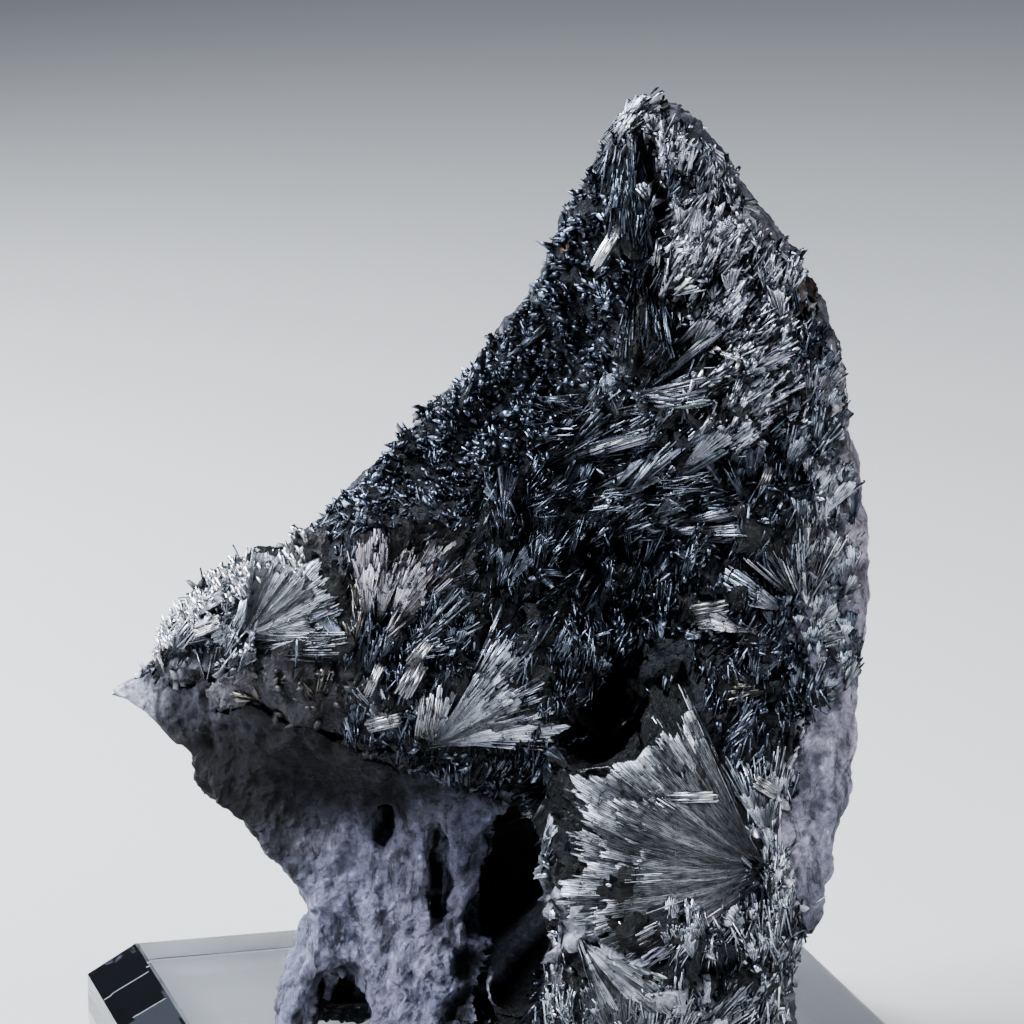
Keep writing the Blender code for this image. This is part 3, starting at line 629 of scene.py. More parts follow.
class Needles:
    """Collects four-sided prisms and turns them into meshes."""

    def __init__(self):
        self.rows = []

    def add(self, start, end, width, thickness, up, turn, tint):
        """Add one needle in the display frame, in millimetres."""
        self.rows.append((*start, *end, width, thickness, *up, turn, *tint))

    def build(self, name, seed):
        """Make the mesh objects of all the needles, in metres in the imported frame."""
        draw = np.random.default_rng(seed)
        rows = np.array(self.rows, float)
        pieces = max(1, math.ceil(len(rows) / PIECE_LIMIT))
        return [
            prism_object("%s_%d" % (name, index + 1), chunk, draw)
            for index, chunk in enumerate(np.array_split(rows, pieces))
        ]


def quad_mesh(name, points, faces):
    """Make a mesh of four-sided faces."""
    mesh = bpy.data.meshes.new(name)
    mesh.vertices.add(len(points))
    mesh.vertices.foreach_set("co", points.astype(np.float32).ravel())
    mesh.loops.add(faces.size)
    mesh.loops.foreach_set("vertex_index", faces.astype(np.int32).ravel())
    mesh.polygons.add(len(faces))
    mesh.polygons.foreach_set("loop_start", np.arange(0, faces.size, 4, dtype=np.int32))
    mesh.update(calc_edges=True)
    mesh.validate()
    return mesh


def prism_object(name, rows, draw):
    """Make one mesh of prisms: darker at the root as painted shade, with a slanted end."""
    starts, ends, widths, thicks, ups = rows[:, 0:3], rows[:, 3:6], rows[:, 6:7], rows[:, 7:8], rows[:, 8:11]
    turns, tints = rows[:, 11:12], rows[:, 12:15]
    count = len(rows)
    axis = ends - starts
    axis /= np.linalg.norm(axis, axis=1)[:, None]
    side = np.cross(axis, ups)
    side /= np.linalg.norm(side, axis=1)[:, None]
    up = np.cross(side, axis)
    side, up = side * np.cos(turns) + up * np.sin(turns), up * np.cos(turns) - side * np.sin(turns)
    corners = [(-1, -1), (1, -1), (1, 1), (-1, 1)]
    slant = draw.uniform(-0.8, 0.8, (count, 2))
    points = np.empty((count, 8, 3))
    for index, (across, over) in enumerate(corners):
        offset = side * across * widths / 2.0 + up * over * thicks / 2.0
        points[:, index] = starts + offset * 0.8
        reach = (across * slant[:, 0] + over * slant[:, 1])[:, None] * widths * 0.7
        points[:, index + 4] = ends + offset * 0.8 + axis * reach
    matrix = np.array(TO_WORLD)
    points = points.reshape(-1, 3) * MM @ matrix[:3, :3].T + matrix[:3, 3]
    quads = [(0, 3, 2, 1), (4, 5, 6, 7), (0, 1, 5, 4), (1, 2, 6, 5), (2, 3, 7, 6), (3, 0, 4, 7)]
    faces = (np.arange(count)[:, None, None] * 8 + np.array(quads)[None]).reshape(-1, 4)
    mesh = quad_mesh(name, points, faces)
    colours = np.ones((count, 8, 4), np.float32)
    # Painted shade: the root end is darker
    colours[:, :4, :3] = tints[:, None, :] * 0.4
    colours[:, 4:, :3] = tints[:, None, :]
    add_attribute(mesh, "tint", colours.reshape(-1, 4))
    obj = bpy.data.objects.new(name, mesh)
    bpy.context.scene.collection.objects.link(obj)
    return obj


def search_tree(*meshes):
    """Make one search tree of meshes in the display frame, in millimetres."""
    points, faces = [], []
    for mesh in meshes:
        start = len(points)
        points += [Vector(point) for point in display_points(mesh)]
        faces += [[start + index for index in face.vertices] for face in mesh.polygons]
    return BVHTree.FromPolygons(points, faces)


def front_hit(tree, x, z):
    """Find the front surface at x, z in the display frame: the point and its normal."""
    point, normal, _, _ = tree.ray_cast(Vector((x, -60.0, z)), -VIEWER)
    return point, normal


def toned(tint, draw, power=2.2):
    """Vary a colour: many dark ones, a few bright ones."""
    level = 0.45 + 1.35 * draw.random() ** power
    cool = draw.uniform(-0.012, 0.012)
    return [min(0.95, value * (level + shift)) for value, shift in zip(tint, (-cool, 0.0, cool))]


class Fan:
    """A sector of the surface whose crystals run out from one root and rise towards their tips."""

    def __init__(self, root, axis, out, reach, spread, lift, kind, draw):
        self.root, self.out = root, out
        self.axis = (axis - out * axis.dot(out)).normalized()
        self.across = self.axis.cross(out)
        self.reach, self.half, self.lift, self.kind = reach, math.radians(spread), lift, kind
        self.phases = [draw.uniform(0.0, 2.0 * math.pi) for _ in range(6)]

    def edge(self, angle):
        """Give the ragged reach at an angle from the axis."""
        one, two, three = self.phases[:3]
        wave = 0.07 * np.sin(7.0 * angle + one) + 0.05 * np.sin(17.0 * angle + two) + 0.03 * np.sin(41.0 * angle + three)
        return self.reach * (0.87 + wave)

    def ridges(self, angle):
        """Give the height of the ridges between bundles of crystals at an angle."""
        one, two, three = self.phases[3:]
        return 0.5 * np.sin(23.0 * angle + one) + 0.35 * np.sin(41.0 * angle + two) + 0.3 * np.sin(67.0 * angle + three)

    def polar(self, places):
        """Give the distance from the root, the angle and the depth of places."""
        offset = places - np.array(self.root)
        along, across = offset @ np.array(self.axis), offset @ np.array(self.across)
        return np.hypot(along, across), np.arctan2(across, along), offset @ np.array(self.out)

    def holds(self, place):
        """Tell whether a place on the front lies well inside the fan."""
        distance, angle, depth = self.polar(np.array([place]))
        return distance[0] < 0.95 * self.reach and abs(angle[0]) < self.half * 1.1 and abs(depth[0]) < self.reach

    def place(self, angle, distance):
        """Give the point over the root's plane at an angle and a distance."""
        return self.root + (self.axis * math.cos(angle) + self.across * math.sin(angle)) * distance


def named_fans(rows, tree, draw):
    """Make the fans of a list, rooted on the front."""
    fans = []
    for root_x, root_z, tip_x, tip_z, spread, lift, kind in rows:
        root, _ = front_hit(tree, root_x, root_z)
        if root is not None:
            axis = Vector((tip_x - root_x, 0.0, tip_z - root_z))
            fans.append(Fan(root, axis, VIEWER, axis.length, spread, lift, kind, draw))
    return fans


def region_at(x, z):
    """Find the heading and kind of crystals at a place on the front."""
    for middle_x, middle_z, half_x, half_z, heading, kind in REGIONS:
        if ((x - middle_x) / half_x) ** 2 + ((z - middle_z) / half_z) ** 2 < 1.0:
            return heading, kind
    return DEFAULT_HEADING, DEFAULT_KIND


def in_hollow(place):
    """Tell whether a place on the front lies in one of the sunk, recoloured hollows."""
    return any(math.hypot(place.x - x, place.z - z) < radius for x, z, radius, _, _ in HOLLOWS)


def surface_samples(mesh, count, seed):
    """Draw places spread evenly over a mesh: points and normals in the display frame."""
    points = display_points(mesh)
    corners = np.array([list(face.vertices)[:3] for face in mesh.polygons])
    first, second, third = points[corners[:, 0]], points[corners[:, 1]], points[corners[:, 2]]
    normal = np.cross(second - first, third - first)
    area = np.linalg.norm(normal, axis=1)
    draw = np.random.default_rng(seed)
    picks = draw.choice(len(area), count, p=area / area.sum())
    one, two = draw.random(count), draw.random(count)
    flip = one + two > 1.0
    one[flip], two[flip] = 1.0 - one[flip], 1.0 - two[flip]
    places = first[picks] + (second - first)[picks] * one[:, None] + (third - first)[picks] * two[:, None]
    return [(Vector(place), Vector(way)) for place, way in zip(places, normal[picks] / area[picks][:, None])]


def open_samples(mesh, count, seed, crust):
    """Draw places on the crystal mass that the crust doesn't cover, clear of the block."""
    for place, normal in surface_samples(mesh, count, seed):
        if place.z > FOOT_CLEAR and crust.ray_cast(place, normal, RIND_REACH)[0] is None:
            yield place, normal


def filler_fans(named, crust, draw):
    """Make small fans all over the mass, to lie between the named ones."""
    fans = []
    for place, normal in open_samples(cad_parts["crystal_mass"].data, FILLER_COUNT, 5, crust):
        heading, kind = region_at(place.x, place.z)
        if kind in ("void", "crusty") or in_hollow(place) or any(fan.holds(place) for fan in named):
            continue
        angle = math.radians(heading + draw.gauss(0.0, FILLER_STRAY))
        axis = Vector((math.cos(angle), draw.uniform(-0.3, 0.3), math.sin(angle)))
        if abs(axis.normalized().dot(normal)) > 0.9:
            continue
        size = FILLER_SIZES.get(kind, 1.0)
        reach, lift = draw.uniform(*FILLER_REACH) * size, draw.uniform(*FILLER_LIFT)
        spread = draw.uniform(*FILLER_SPREAD) * FILLER_SPREADS.get(kind, 1.0)
        fans.append(Fan(place, axis, normal, reach, spread, lift, kind, draw))
    return fans


def edge_fillers(crust_mesh, draw):
    """Make small fans over the front of the crust's thin right edge, short of its outline."""
    fans = []
    edge = right_edge(crust_mesh)
    for place, normal in surface_samples(crust_mesh, EDGE_COUNT, 29):
        if not EDGE_LOW < place.z < EDGE_HIGH or normal.y > -0.4 or normal.x > 0.7 or in_hollow(place):
            continue
        if place.x < np.interp(place.z, *edge) - EDGE_REACH:
            continue
        angle = math.radians(draw.uniform(35.0, 115.0))
        axis = Vector((math.cos(angle), 0.0, math.sin(angle)))
        kind = draw.choice(("pale", "silk_grey", "steel_bright", "steel"))
        kind = "mica" if place.z > EDGE_MICA else kind
        out = (normal + VIEWER).normalized()
        reach, spread = draw.uniform(1.6, 3.6), draw.uniform(*FILLER_SPREAD) * 0.7
        tip = place + axis.normalized() * reach
        if tip.x > np.interp(tip.z, *edge) - EDGE_CLEAR:
            continue
        fans.append(Fan(place, axis, out, reach, spread, 0.5, kind, draw))
    return fans


def raise_fans(fans, places, normals, is_void):
    """Find the fan that stands highest at each place: height, polar place in it, and tint."""
    count = len(places)
    height, fibre, tint = np.zeros(count), np.zeros((count, 3)), np.tile(np.array(BODY_TINT_AND_PAINTED_SHADE), (count, 1))
    for index, fan in enumerate(fans):
        distance, angle, depth = fan.polar(places)
        inside = (distance < fan.edge(angle)) & (np.abs(angle) < fan.half) & (np.abs(depth) < 2.0 + fan.reach * 0.7)
        inside &= normals @ np.array(fan.out) > 0.0
        share = distance / fan.reach
        rough = 0.1 if fan.kind == "silk" else 0.22
        rise = fan.lift * (0.75 * share**1.2 + rough * fan.ridges(angle) * np.minimum(1.0, share * 2.0))
        higher = inside & (rise > height)
        higher &= ~is_void
        height[higher] = rise[higher]
        fibre[higher] = np.stack((angle * fan.reach, distance * 0.12, np.full(count, index * 3.7)), axis=1)[higher]
        # Painted shade: under a fan the body takes the fan's colour, darkened
        tint[higher] = np.array(KINDS[fan.kind][0]) * BODY_PAINTED_SHADE
    return height, fibre, tint


def add_clump(needles, start, end, up, kind, draw):
    """Add a bundle of nearly parallel needles that share a tone and the turn of their faces."""
    tint, width, count, clump_width, _, _, splay = KINDS[kind]
    axis = end - start
    length = axis.length
    across = axis.cross(up)
    middle = (start + end) / 2.0
    if length < 0.3 or across.length < 0.05 * length or min(start.z, end.z) < FOOT_CLEAR:
        return
    if region_at(middle.x, middle.z)[1] == "void":
        return
    axis.normalize()
    across.normalize()
    over = across.cross(axis)
    colour = toned(tint, draw)
    turn = draw.uniform(-0.8, 0.8)
    for _ in range(count):
        shift = across * draw.uniform(-0.5, 0.5) * clump_width + over * draw.uniform(-0.18, 0.12) * clump_width
        stray = (across * draw.gauss(0.0, 1.0) + over * draw.gauss(0.0, 0.7)) * splay * length
        first = start + shift * 0.75 + axis * draw.uniform(-0.12, 0.12) * length
        last = end + shift + stray + axis * draw.uniform(-0.16, 0.10) * length
        wide = width * draw.uniform(0.7, 1.35)
        level = draw.uniform(0.85, 1.15)
        tone = [value * level for value in colour]
        needles.add(first, last, wide, wide * draw.uniform(0.5, 0.9), over, turn + draw.uniform(-0.12, 0.12), tone)


def fan_point(fan, tree, angle, distance):
    """Find the surface under a fan at an angle and a distance."""
    place = fan.place(angle, distance)
    point, normal, _, _ = tree.ray_cast(place + fan.out * FAN_ABOVE, -fan.out, FAN_ABOVE * 2.0)
    return point, normal


def cover_fan(needles, tree, crust, fan, draw):
    """Cover a fan with clumps that run out from its root."""
    lengths, density = KINDS[fan.kind][4:6]
    for _ in range(int(fan.half * fan.reach**2 * density)):
        angle = draw.uniform(-fan.half, fan.half)
        end_reach = float(fan.edge(angle)) * math.sqrt(draw.uniform(0.06, 1.0))
        start_reach = max(0.15 * draw.random(), end_reach - draw.uniform(*lengths))
        first, first_normal = fan_point(fan, tree, angle, start_reach)
        last, last_normal = fan_point(fan, tree, angle, end_reach)
        if first is None or last is None or crust.ray_cast(first, fan.out, RIND_REACH * 2.0)[0] is not None:
            continue
        span = end_reach - start_reach
        if abs((last - first).dot(fan.out)) > span * FAN_SLOPE + FAN_JUMP:
            last = first + fan.place(angle, span) - fan.root - fan.out * span * FAN_SLOPE * 0.5
            last_normal = first_normal
        up = (first_normal + last_normal + fan.out).normalized()
        start = first - up * draw.uniform(0.0, 0.15)
        end = last + up * draw.uniform(0.0, 0.35) * fan.lift
        add_clump(needles, start, end, up, fan.kind, draw)


class Plates:
    """Collects striated sheets, given as grids of points, and turns them into meshes."""

    def __init__(self):
        self.grids = []

    def add(self, points, tints, fibres):
        """Add one sheet: points in the display frame, colours and places along the fibres, each by row and column."""
        self.grids.append((points, tints, fibres))

    def build(self, name):
        """Make the mesh objects of all the sheets, each under the limit of triangles."""
        groups, total = [[]], 0
        for grid in self.grids:
            size = 2 * (grid[0].shape[0] - 1) * (grid[0].shape[1] - 1)
            if total + size > PLATE_LIMIT:
                groups.append([])
                total = 0
            groups[-1].append(grid)
            total += size
        return [sheet_object("%s_%d" % (name, index + 1), group) for index, group in enumerate(groups)]


def sheet_object(name, grids):
    """Make one mesh of grids."""
    faces, start = [], 0
    for points, _, _ in grids:
        rows, columns = points.shape[:2]
        index = start + np.arange(rows * columns).reshape(rows, columns)
        corners = (index[:-1, :-1], index[1:, :-1], index[1:, 1:], index[:-1, 1:])
        faces.append(np.stack([corner.ravel() for corner in corners], axis=1))
        start += rows * columns
    faces = np.concatenate(faces)
    matrix = np.array(TO_WORLD)
    points = np.concatenate([grid[0].reshape(-1, 3) for grid in grids])
    points = points * MM @ matrix[:3, :3].T + matrix[:3, 3]
    mesh = quad_mesh(name, points, faces)
    add_attribute(mesh, "tint", np.concatenate([grid[1].reshape(-1, 4) for grid in grids]))
    add_attribute(mesh, "fibre", np.concatenate([grid[2].reshape(-1, 3) for grid in grids]))
    obj = bpy.data.objects.new(name, mesh)
    bpy.context.scene.collection.objects.link(obj)
    return obj


def lie_of_fan(fan, tree, crust):
    """Feel the surface along lines of a fan: their angles, the distances, the heights, and where each line ends."""
    angles = np.linspace(-fan.half, fan.half, max(3, int(fan.half * 2.0 / math.radians(5.0)) + 1))
    distances = np.linspace(0.3, fan.reach, max(3, int(fan.reach / 1.2)))
    step = distances[1] - distances[0]
    heights = np.zeros((len(angles), len(distances)))
    ends = np.full(len(angles), fan.reach)
    for row, angle in enumerate(angles):
        last = None
        for column, distance in enumerate(distances):
            point, _ = fan_point(fan, tree, angle, distance)
            hidden = point is None or crust.ray_cast(point, fan.out, RIND_REACH * 2.0)[0] is not None
            height = None if hidden else (point - fan.root).dot(fan.out)
            jump = FAN_JUMP * (2.0 if fan.kind == "silk" else 1.0)
            if hidden or (last is not None and height < last - step * FAN_SLOPE - jump):
                ends[row] = max(0.0, distance - 0.6 * step)
                heights[row, column:] = last or 0.0
                break
            if last is not None:
                height = min(max(height, last - step * FAN_SLOPE), last + step * FAN_SLOPE)
            heights[row, column] = last = height
    for _ in range(2):
        heights[:, 1:-1] = (heights[:, :-2] + 2.0 * heights[:, 1:-1] + heights[:, 2:]) / 4.0
        heights[1:-1] = (heights[:-2] + 2.0 * heights[1:-1] + heights[2:]) / 4.0
    if fan.kind == "silk":
        heights = stiffened(angles, distances, heights, ends)
    return angles, distances, heights, ends


def stiffened(angles, distances, heights, ends):
    """Give the gently curved sheet that lies over nearly all the surface under a fan."""
    along, across = np.cos(angles)[:, None] * distances, np.sin(angles)[:, None] * distances
    open_part = distances[None, :] < ends[:, None]
    if open_part.sum() < 12:
        return heights
    terms = np.stack((along, across, along**2, across**2, along * across), axis=-1)
    shape = np.linalg.lstsq(terms[open_part], heights[open_part], rcond=None)[0]
    sheet = terms @ shape
    rise = np.quantile((heights - sheet)[open_part], STIFF_SHARE)
    return sheet + rise * np.minimum(1.0, distances / 3.0)


def fibre_values(count, draw, kind):
    """Draw the reach, height, tone and lean of each fibre of a plate; neighbours in a bundle are alike."""
    values = []
    nearest, farthest = SILK_ENDS if kind == "silk" else PLATE_ENDS
    while len(values) < count:
        reach, rise, lean = draw.uniform(nearest, farthest), draw.uniform(-0.2, 0.3), draw.uniform(-0.6, 0.6)
        tone = 0.35 + 1.5 * draw.random() ** 2.0
        for _ in range(draw.randint(3, 9)):
            values.append(
                (
                    reach * draw.uniform(0.93, 1.0),
                    rise + draw.uniform(-0.05, 0.05),
                    tone * draw.uniform(0.8, 1.2),
                    lean + draw.uniform(-0.15, 0.15),
                )
            )
    return np.array(values[:count])


def add_plate(plates, fan, number, lie, share, rise, draw):
    """Add a sheet of fibres grown side by side over a fan, with ragged broken ends."""
    lie_angles, distances, heights, ends = lie
    if np.median(ends) < OPEN_SHARE * fan.reach:
        return
    tint, width = KINDS[fan.kind][:2]
    pitch = max(width * PLATE_PITCH, FINEST_PITCH)
    count = max(5, int(2.0 * fan.half * fan.reach * share / pitch))
    reaches, rises, tones, leans = fibre_values(count, draw, fan.kind).T
    middles = np.linspace(-fan.half, fan.half, count * 2 + 1)
    ridge = np.arange(1, count * 2, 2)
    angles, reach, lift, tone = middles.copy(), np.empty(len(middles)), np.empty(len(middles)), np.empty(len(middles))
    angles[ridge] += leans * (middles[1] - middles[0])
    for values, source in ((reach, reaches), (lift, rises), (tone, tones)):
        values[ridge] = source
        values[2:-1:2] = (source[:-1] + source[1:]) / 2.0
        values[0], values[-1] = source[0], source[-1]
    depth = np.full(len(middles), -0.6 * pitch)
    depth[ridge] = 0.0
    depth[[0, -1]] = -PLATE_DROP
    # Painted shade: the grooves between fibres are darker
    tone[0::2] *= 0.3
    reach = np.minimum(reach * fan.edge(angles) * share, np.interp(angles, lie_angles, ends))
    if reach.max() < 0.8:
        return
    reach = np.maximum(reach, 0.25)
    rows = max(3, int(fan.reach * share / PLATE_STEP) + 1)
    steps = np.linspace(0.04, 1.0, rows)
    distance = steps[:, None] * reach[None, :]
    ground = np.empty_like(distance)
    for column, angle in enumerate(angles):
        line = [np.interp(angle, lie_angles, heights[:, index]) for index in range(len(distances))]
        ground[:, column] = np.interp(distance[:, column], distances, line)
    grown = np.minimum(1.0, steps * 3.0)[:, None]
    height = ground + (rise + depth[None, :]) * grown + lift[None, :] * steps[:, None]
    distance = np.vstack((distance, distance[-1] + 0.08, distance[-1] - 0.1))
    height = np.vstack((height, height[-1] - 0.15, height[-1] - PLATE_DROP))
    ways = np.cos(angles)[:, None] * np.array(fan.axis) + np.sin(angles)[:, None] * np.array(fan.across)
    points = np.array(fan.root) + distance[:, :, None] * ways[None] + height[:, :, None] * np.array(fan.out)
    points[:, :, 2] = np.maximum(points[:, :, 2], FOOT_CLEAR)
    # Painted shade: darker towards the root and on the underside row of the broken end, lighter towards the end
    along = np.concatenate((np.interp(steps, (0.0, 0.3, 0.8, 1.0), (0.45, 0.8, 1.0, 1.25)), (1.25, 0.3)))
    tints = np.ones((*distance.shape, 4))
    tints[:, :, :3] = np.minimum(0.95, along[:, None, None] * tone[None, :, None] * np.array(tint))
    across = np.tile(angles * fan.reach, (len(distance), 1))
    fibres = np.stack((across, distance * 0.12, np.full(distance.shape, number * 3.7)), axis=2)
    plates.add(points, tints, fibres)


def grain(needles, place, normal, size, tint, draw, wobble=0.5):
    """Add one stubby crystal that stands on a surface."""
    way = Vector((draw.gauss(0, 1), draw.gauss(0, 1), draw.gauss(0, 1)))
    way = (normal + way * wobble).normalized()
    start = place - normal * 0.3
    end = start + way * (size * draw.uniform(0.5, 1.5) + 0.3)
    if end.z > FOOT_CLEAR:
        needles.add(start, end, size, size * draw.uniform(0.3, 1.0), way.orthogonal(), draw.uniform(0.0, 3.0), tint)


def add_grains(needles, fans, mesh, crust, draw):
    """Scatter stubby crystals over the mass, thickest on the drusy left slope, but not on the fans, brightened in
    patches as painted highlight.
    """
    for place, normal in open_samples(mesh, GRAIN_COUNT, 9, crust):
        _, kind = region_at(place.x, place.z)
        if kind in ("void", "crusty") or place.z > GRAIN_TOP or (kind != "druse" and draw.random() < 0.75):
            continue
        if normal.y < 0.3 and any(fan.holds(place) for fan in fans):
            continue
        # Painted highlight: grains are brighter in patches, standing for clusters of glints, and darker between them
        painted_glint_patch = max(0.3, 0.9 + 4.0 * noise.noise(place / 2.4))
        tint = [min(0.9, value * painted_glint_patch) for value in toned(KINDS[kind][0], draw, 4.0)]
        front = normal.y < -0.45
        size = draw.uniform(0.22, 0.85) * (1.0 if front else 0.6)
        grain(needles, place, normal, size, tint, draw, 1.1 if front else 0.6)


def add_flakes(needles, fans, mesh, crust, draw):
    """Lay flat flakes along the grain between the fans, bright and dark by patch."""
    edge = right_edge(mesh)
    for place, normal in open_samples(mesh, FLAKE_COUNT, 13, crust):
        heading, kind = region_at(place.x, place.z)
        if place.x > np.interp(place.z, *edge) - EDGE_CLEAR:
            continue
        if kind not in FLAKES or normal.y > -0.3 or in_hollow(place) or draw.random() > FLAKES[kind][0]:
            continue
        sink = 0.0
        held = None if kind == "mica" else next((fan for fan in fans if fan.holds(place)), None)
        if held is not None:
            if held.kind == "silk":
                continue
            kind, sink = "steel", 0.25
        _, longest, widest = FLAKES[kind]
        patch = noise.noise(place / 1.9)
        angle = math.radians(heading + 60.0 * noise.noise(place / 5.0) + draw.gauss(0.0, 9.0))
        way = Vector((math.cos(angle), draw.uniform(-0.3, 0.3), math.sin(angle)))
        way = (way - normal * way.dot(normal) * 0.8).normalized()
        tone = max(0.06, 0.45 + 3.8 * patch) * draw.uniform(0.7, 1.3)
        tint = [min(0.9, value * tone) for value in KINDS[kind][0]]
        length, wide = draw.uniform(0.3, 1.0) * longest, draw.uniform(0.3, 1.0) * widest
        start = place + normal * (draw.uniform(-0.1, 0.2) + 1.2 * patch - sink)
        turn = 1.8 * noise.noise(place / 2.2 + Vector((9.0, 0.0, 0.0))) + draw.uniform(-0.12, 0.12)
        needles.add(start - way * length / 2.0, start + way * length / 2.0, wide, wide * 0.4, normal, turn, tint)


def add_sparkles(needles, mesh, draw):
    """Set small bright crystals on the front of the upper crust, where it is thin."""
    for place, normal in surface_samples(mesh, SPARKLE_COUNT, 19):
        if place.z > 57.0 and place.x > 8.0 and normal.y < -0.3:
            tint = toned(KINDS["mica"][0], draw, 3.0)
            grain(needles, place - normal * 0.25, normal, draw.uniform(0.3, 0.6), tint, draw, 1.6)


def meets_crust(crust, place, normal, reach):
    """Give the distance to crust that lies beside a place, not behind it, or None."""
    found, _, _, distance = crust.find_nearest(place, reach)
    if found is None or (found - place).dot(normal) < -0.8 * distance:
        return None
    return distance


def add_crumbs(crumbs, mesh, crust, draw):
    """Scatter crust-coloured grains where the crust meets the crystals."""
    for place, normal in open_samples(mesh, CRUMB_COUNT, 17, crust):
        distance = meets_crust(crust, place, normal, 1.6)
        crusty = region_at(place.x, place.z)[1] == "crusty"
        if (distance is not None and draw.random() < 1.2 - distance * 0.7) or (crusty and draw.random() < 0.5):
            tone = draw.uniform(0.5, 1.25)
            tint = [value * tone for value in crust_colour_and_painted_light(np.array([place]))[0]]
            grain(crumbs, place - normal * 0.15, normal, draw.uniform(0.3, 0.8), tint, draw, 0.9)


def add_rim(needles, tree, draw):
    """Set the comb of blunt crystals along the top of the left lobe, coloured bright as a painted highlight."""
    for (x0, z0), (x1, z1) in zip(RIM, RIM[1:]):
        length = math.hypot(x1 - x0, z1 - z0)
        for step in range(int(length / 0.16)):
            share = step * 0.16 / length
            x, z = x0 + (x1 - x0) * share, z0 + (z1 - z0) * share
            for drop in (0.6, 1.4, 2.4):
                place, normal = front_hit(tree, x + draw.uniform(-0.2, 0.2), z - drop * draw.uniform(0.7, 1.2))
                if place is None:
                    continue
                place.y += draw.uniform(-0.3, 1.5)
                way = Vector((-0.35 + draw.gauss(0, 0.12), -0.15 + draw.gauss(0, 0.2), 1.0)).normalized()
                wide = draw.uniform(0.3, 0.6)
                # Painted highlight: the comb's light grey tones
                tone = draw.uniform(0.35, 0.85)
                end = place + way * draw.uniform(0.7, 1.7)
                needles.add(place - way * 0.5, end, wide, wide * 0.7, normal, draw.uniform(-0.5, 0.5), (tone, tone, tone * 1.04))


def add_painted_glint_blades(needles, tree, draw):
    """Lay the few broad crystals that catch the eye, coloured bright as painted highlights, each of strands side by
    side.
    """
    for x, z, length, width, turn, tone in PAINTED_GLINT_BLADES:
        place, normal = front_hit(tree, x, z)
        if place is None:
            continue
        up = GLINT if tone > GLINT_TONE else normal + Vector((0.0, -1.6, 0.4))
        up = up.normalized()
        angle = math.radians(turn)
        way = Vector((math.cos(angle), 0.0, math.sin(angle)))
        way = (way - up * way.dot(up)).normalized()
        across = way.cross(up)
        strands = max(2, round(width / BLADE_STRAND))
        for strand in range(strands):
            side = across * ((strand + 0.5) / strands - 0.5) * width
            middle = place + up * ((1.2 if tone > GLINT_TONE else 0.7) + draw.uniform(-0.1, 0.1)) + side
            begin, end = draw.uniform(0.38, 0.52) * length, draw.uniform(0.38, 0.52) * length
            # Painted highlight: the blade's bright tone
            shade = tone * draw.uniform(0.7, 1.15)
            tint = (shade, shade, shade * 1.05)
            needles.add(middle - way * begin, middle + way * end, BLADE_STRAND * 1.2, 0.7, up, draw.uniform(-0.1, 0.1), tint)


def add_bundles(needles, tree, draw):
    """Lay the long straight bundles, each wider at its tip and arched across."""
    for x0, z0, x1, z1, width, tone in BUNDLES:
        shares = np.linspace(0.0, 1.0, 9)
        hits = [front_hit(tree, x0 + (x1 - x0) * share, z0 + (z1 - z0) * share)[0] for share in shares]
        depths = [(share, hit.y) for share, hit in zip(shares, hits) if hit is not None]
        slope, level = np.polyfit(*zip(*depths), 1)
        level -= np.quantile([level + slope * share - depth for share, depth in depths], 0.6)
        start, end = Vector((x0, level, z0)), Vector((x1, level + slope, z1))
        axis = end - start
        across = axis.cross(VIEWER).normalized()
        shade = tone
        for strand in range(int(width / BUNDLE_STRAND * 3.0)):
            if strand % 4 == 0:
                shade = tone * (0.35 + 1.2 * draw.random() ** 2.0)
            side = (strand * 0.381) % 1.0 - 0.5 + draw.uniform(-0.03, 0.03)
            begin, finish = draw.uniform(0.0, 0.3), draw.uniform(0.72, 1.0)
            ends = []
            for share in (begin, finish):
                out = VIEWER * width * (0.3 - 1.2 * side**2 + draw.uniform(-0.08, 0.08))
                ends.append(start + axis * share + across * side * width * (0.4 + 0.6 * share) + out)
            tint = [min(0.9, value * shade * draw.uniform(0.85, 1.15)) for value in BUNDLE_TINT]
            wide = draw.uniform(0.12, 0.26)
            needles.add(*ends, wide, draw.uniform(0.4, 0.9), VIEWER + GLINT, draw.uniform(-0.3, 0.3), tint)


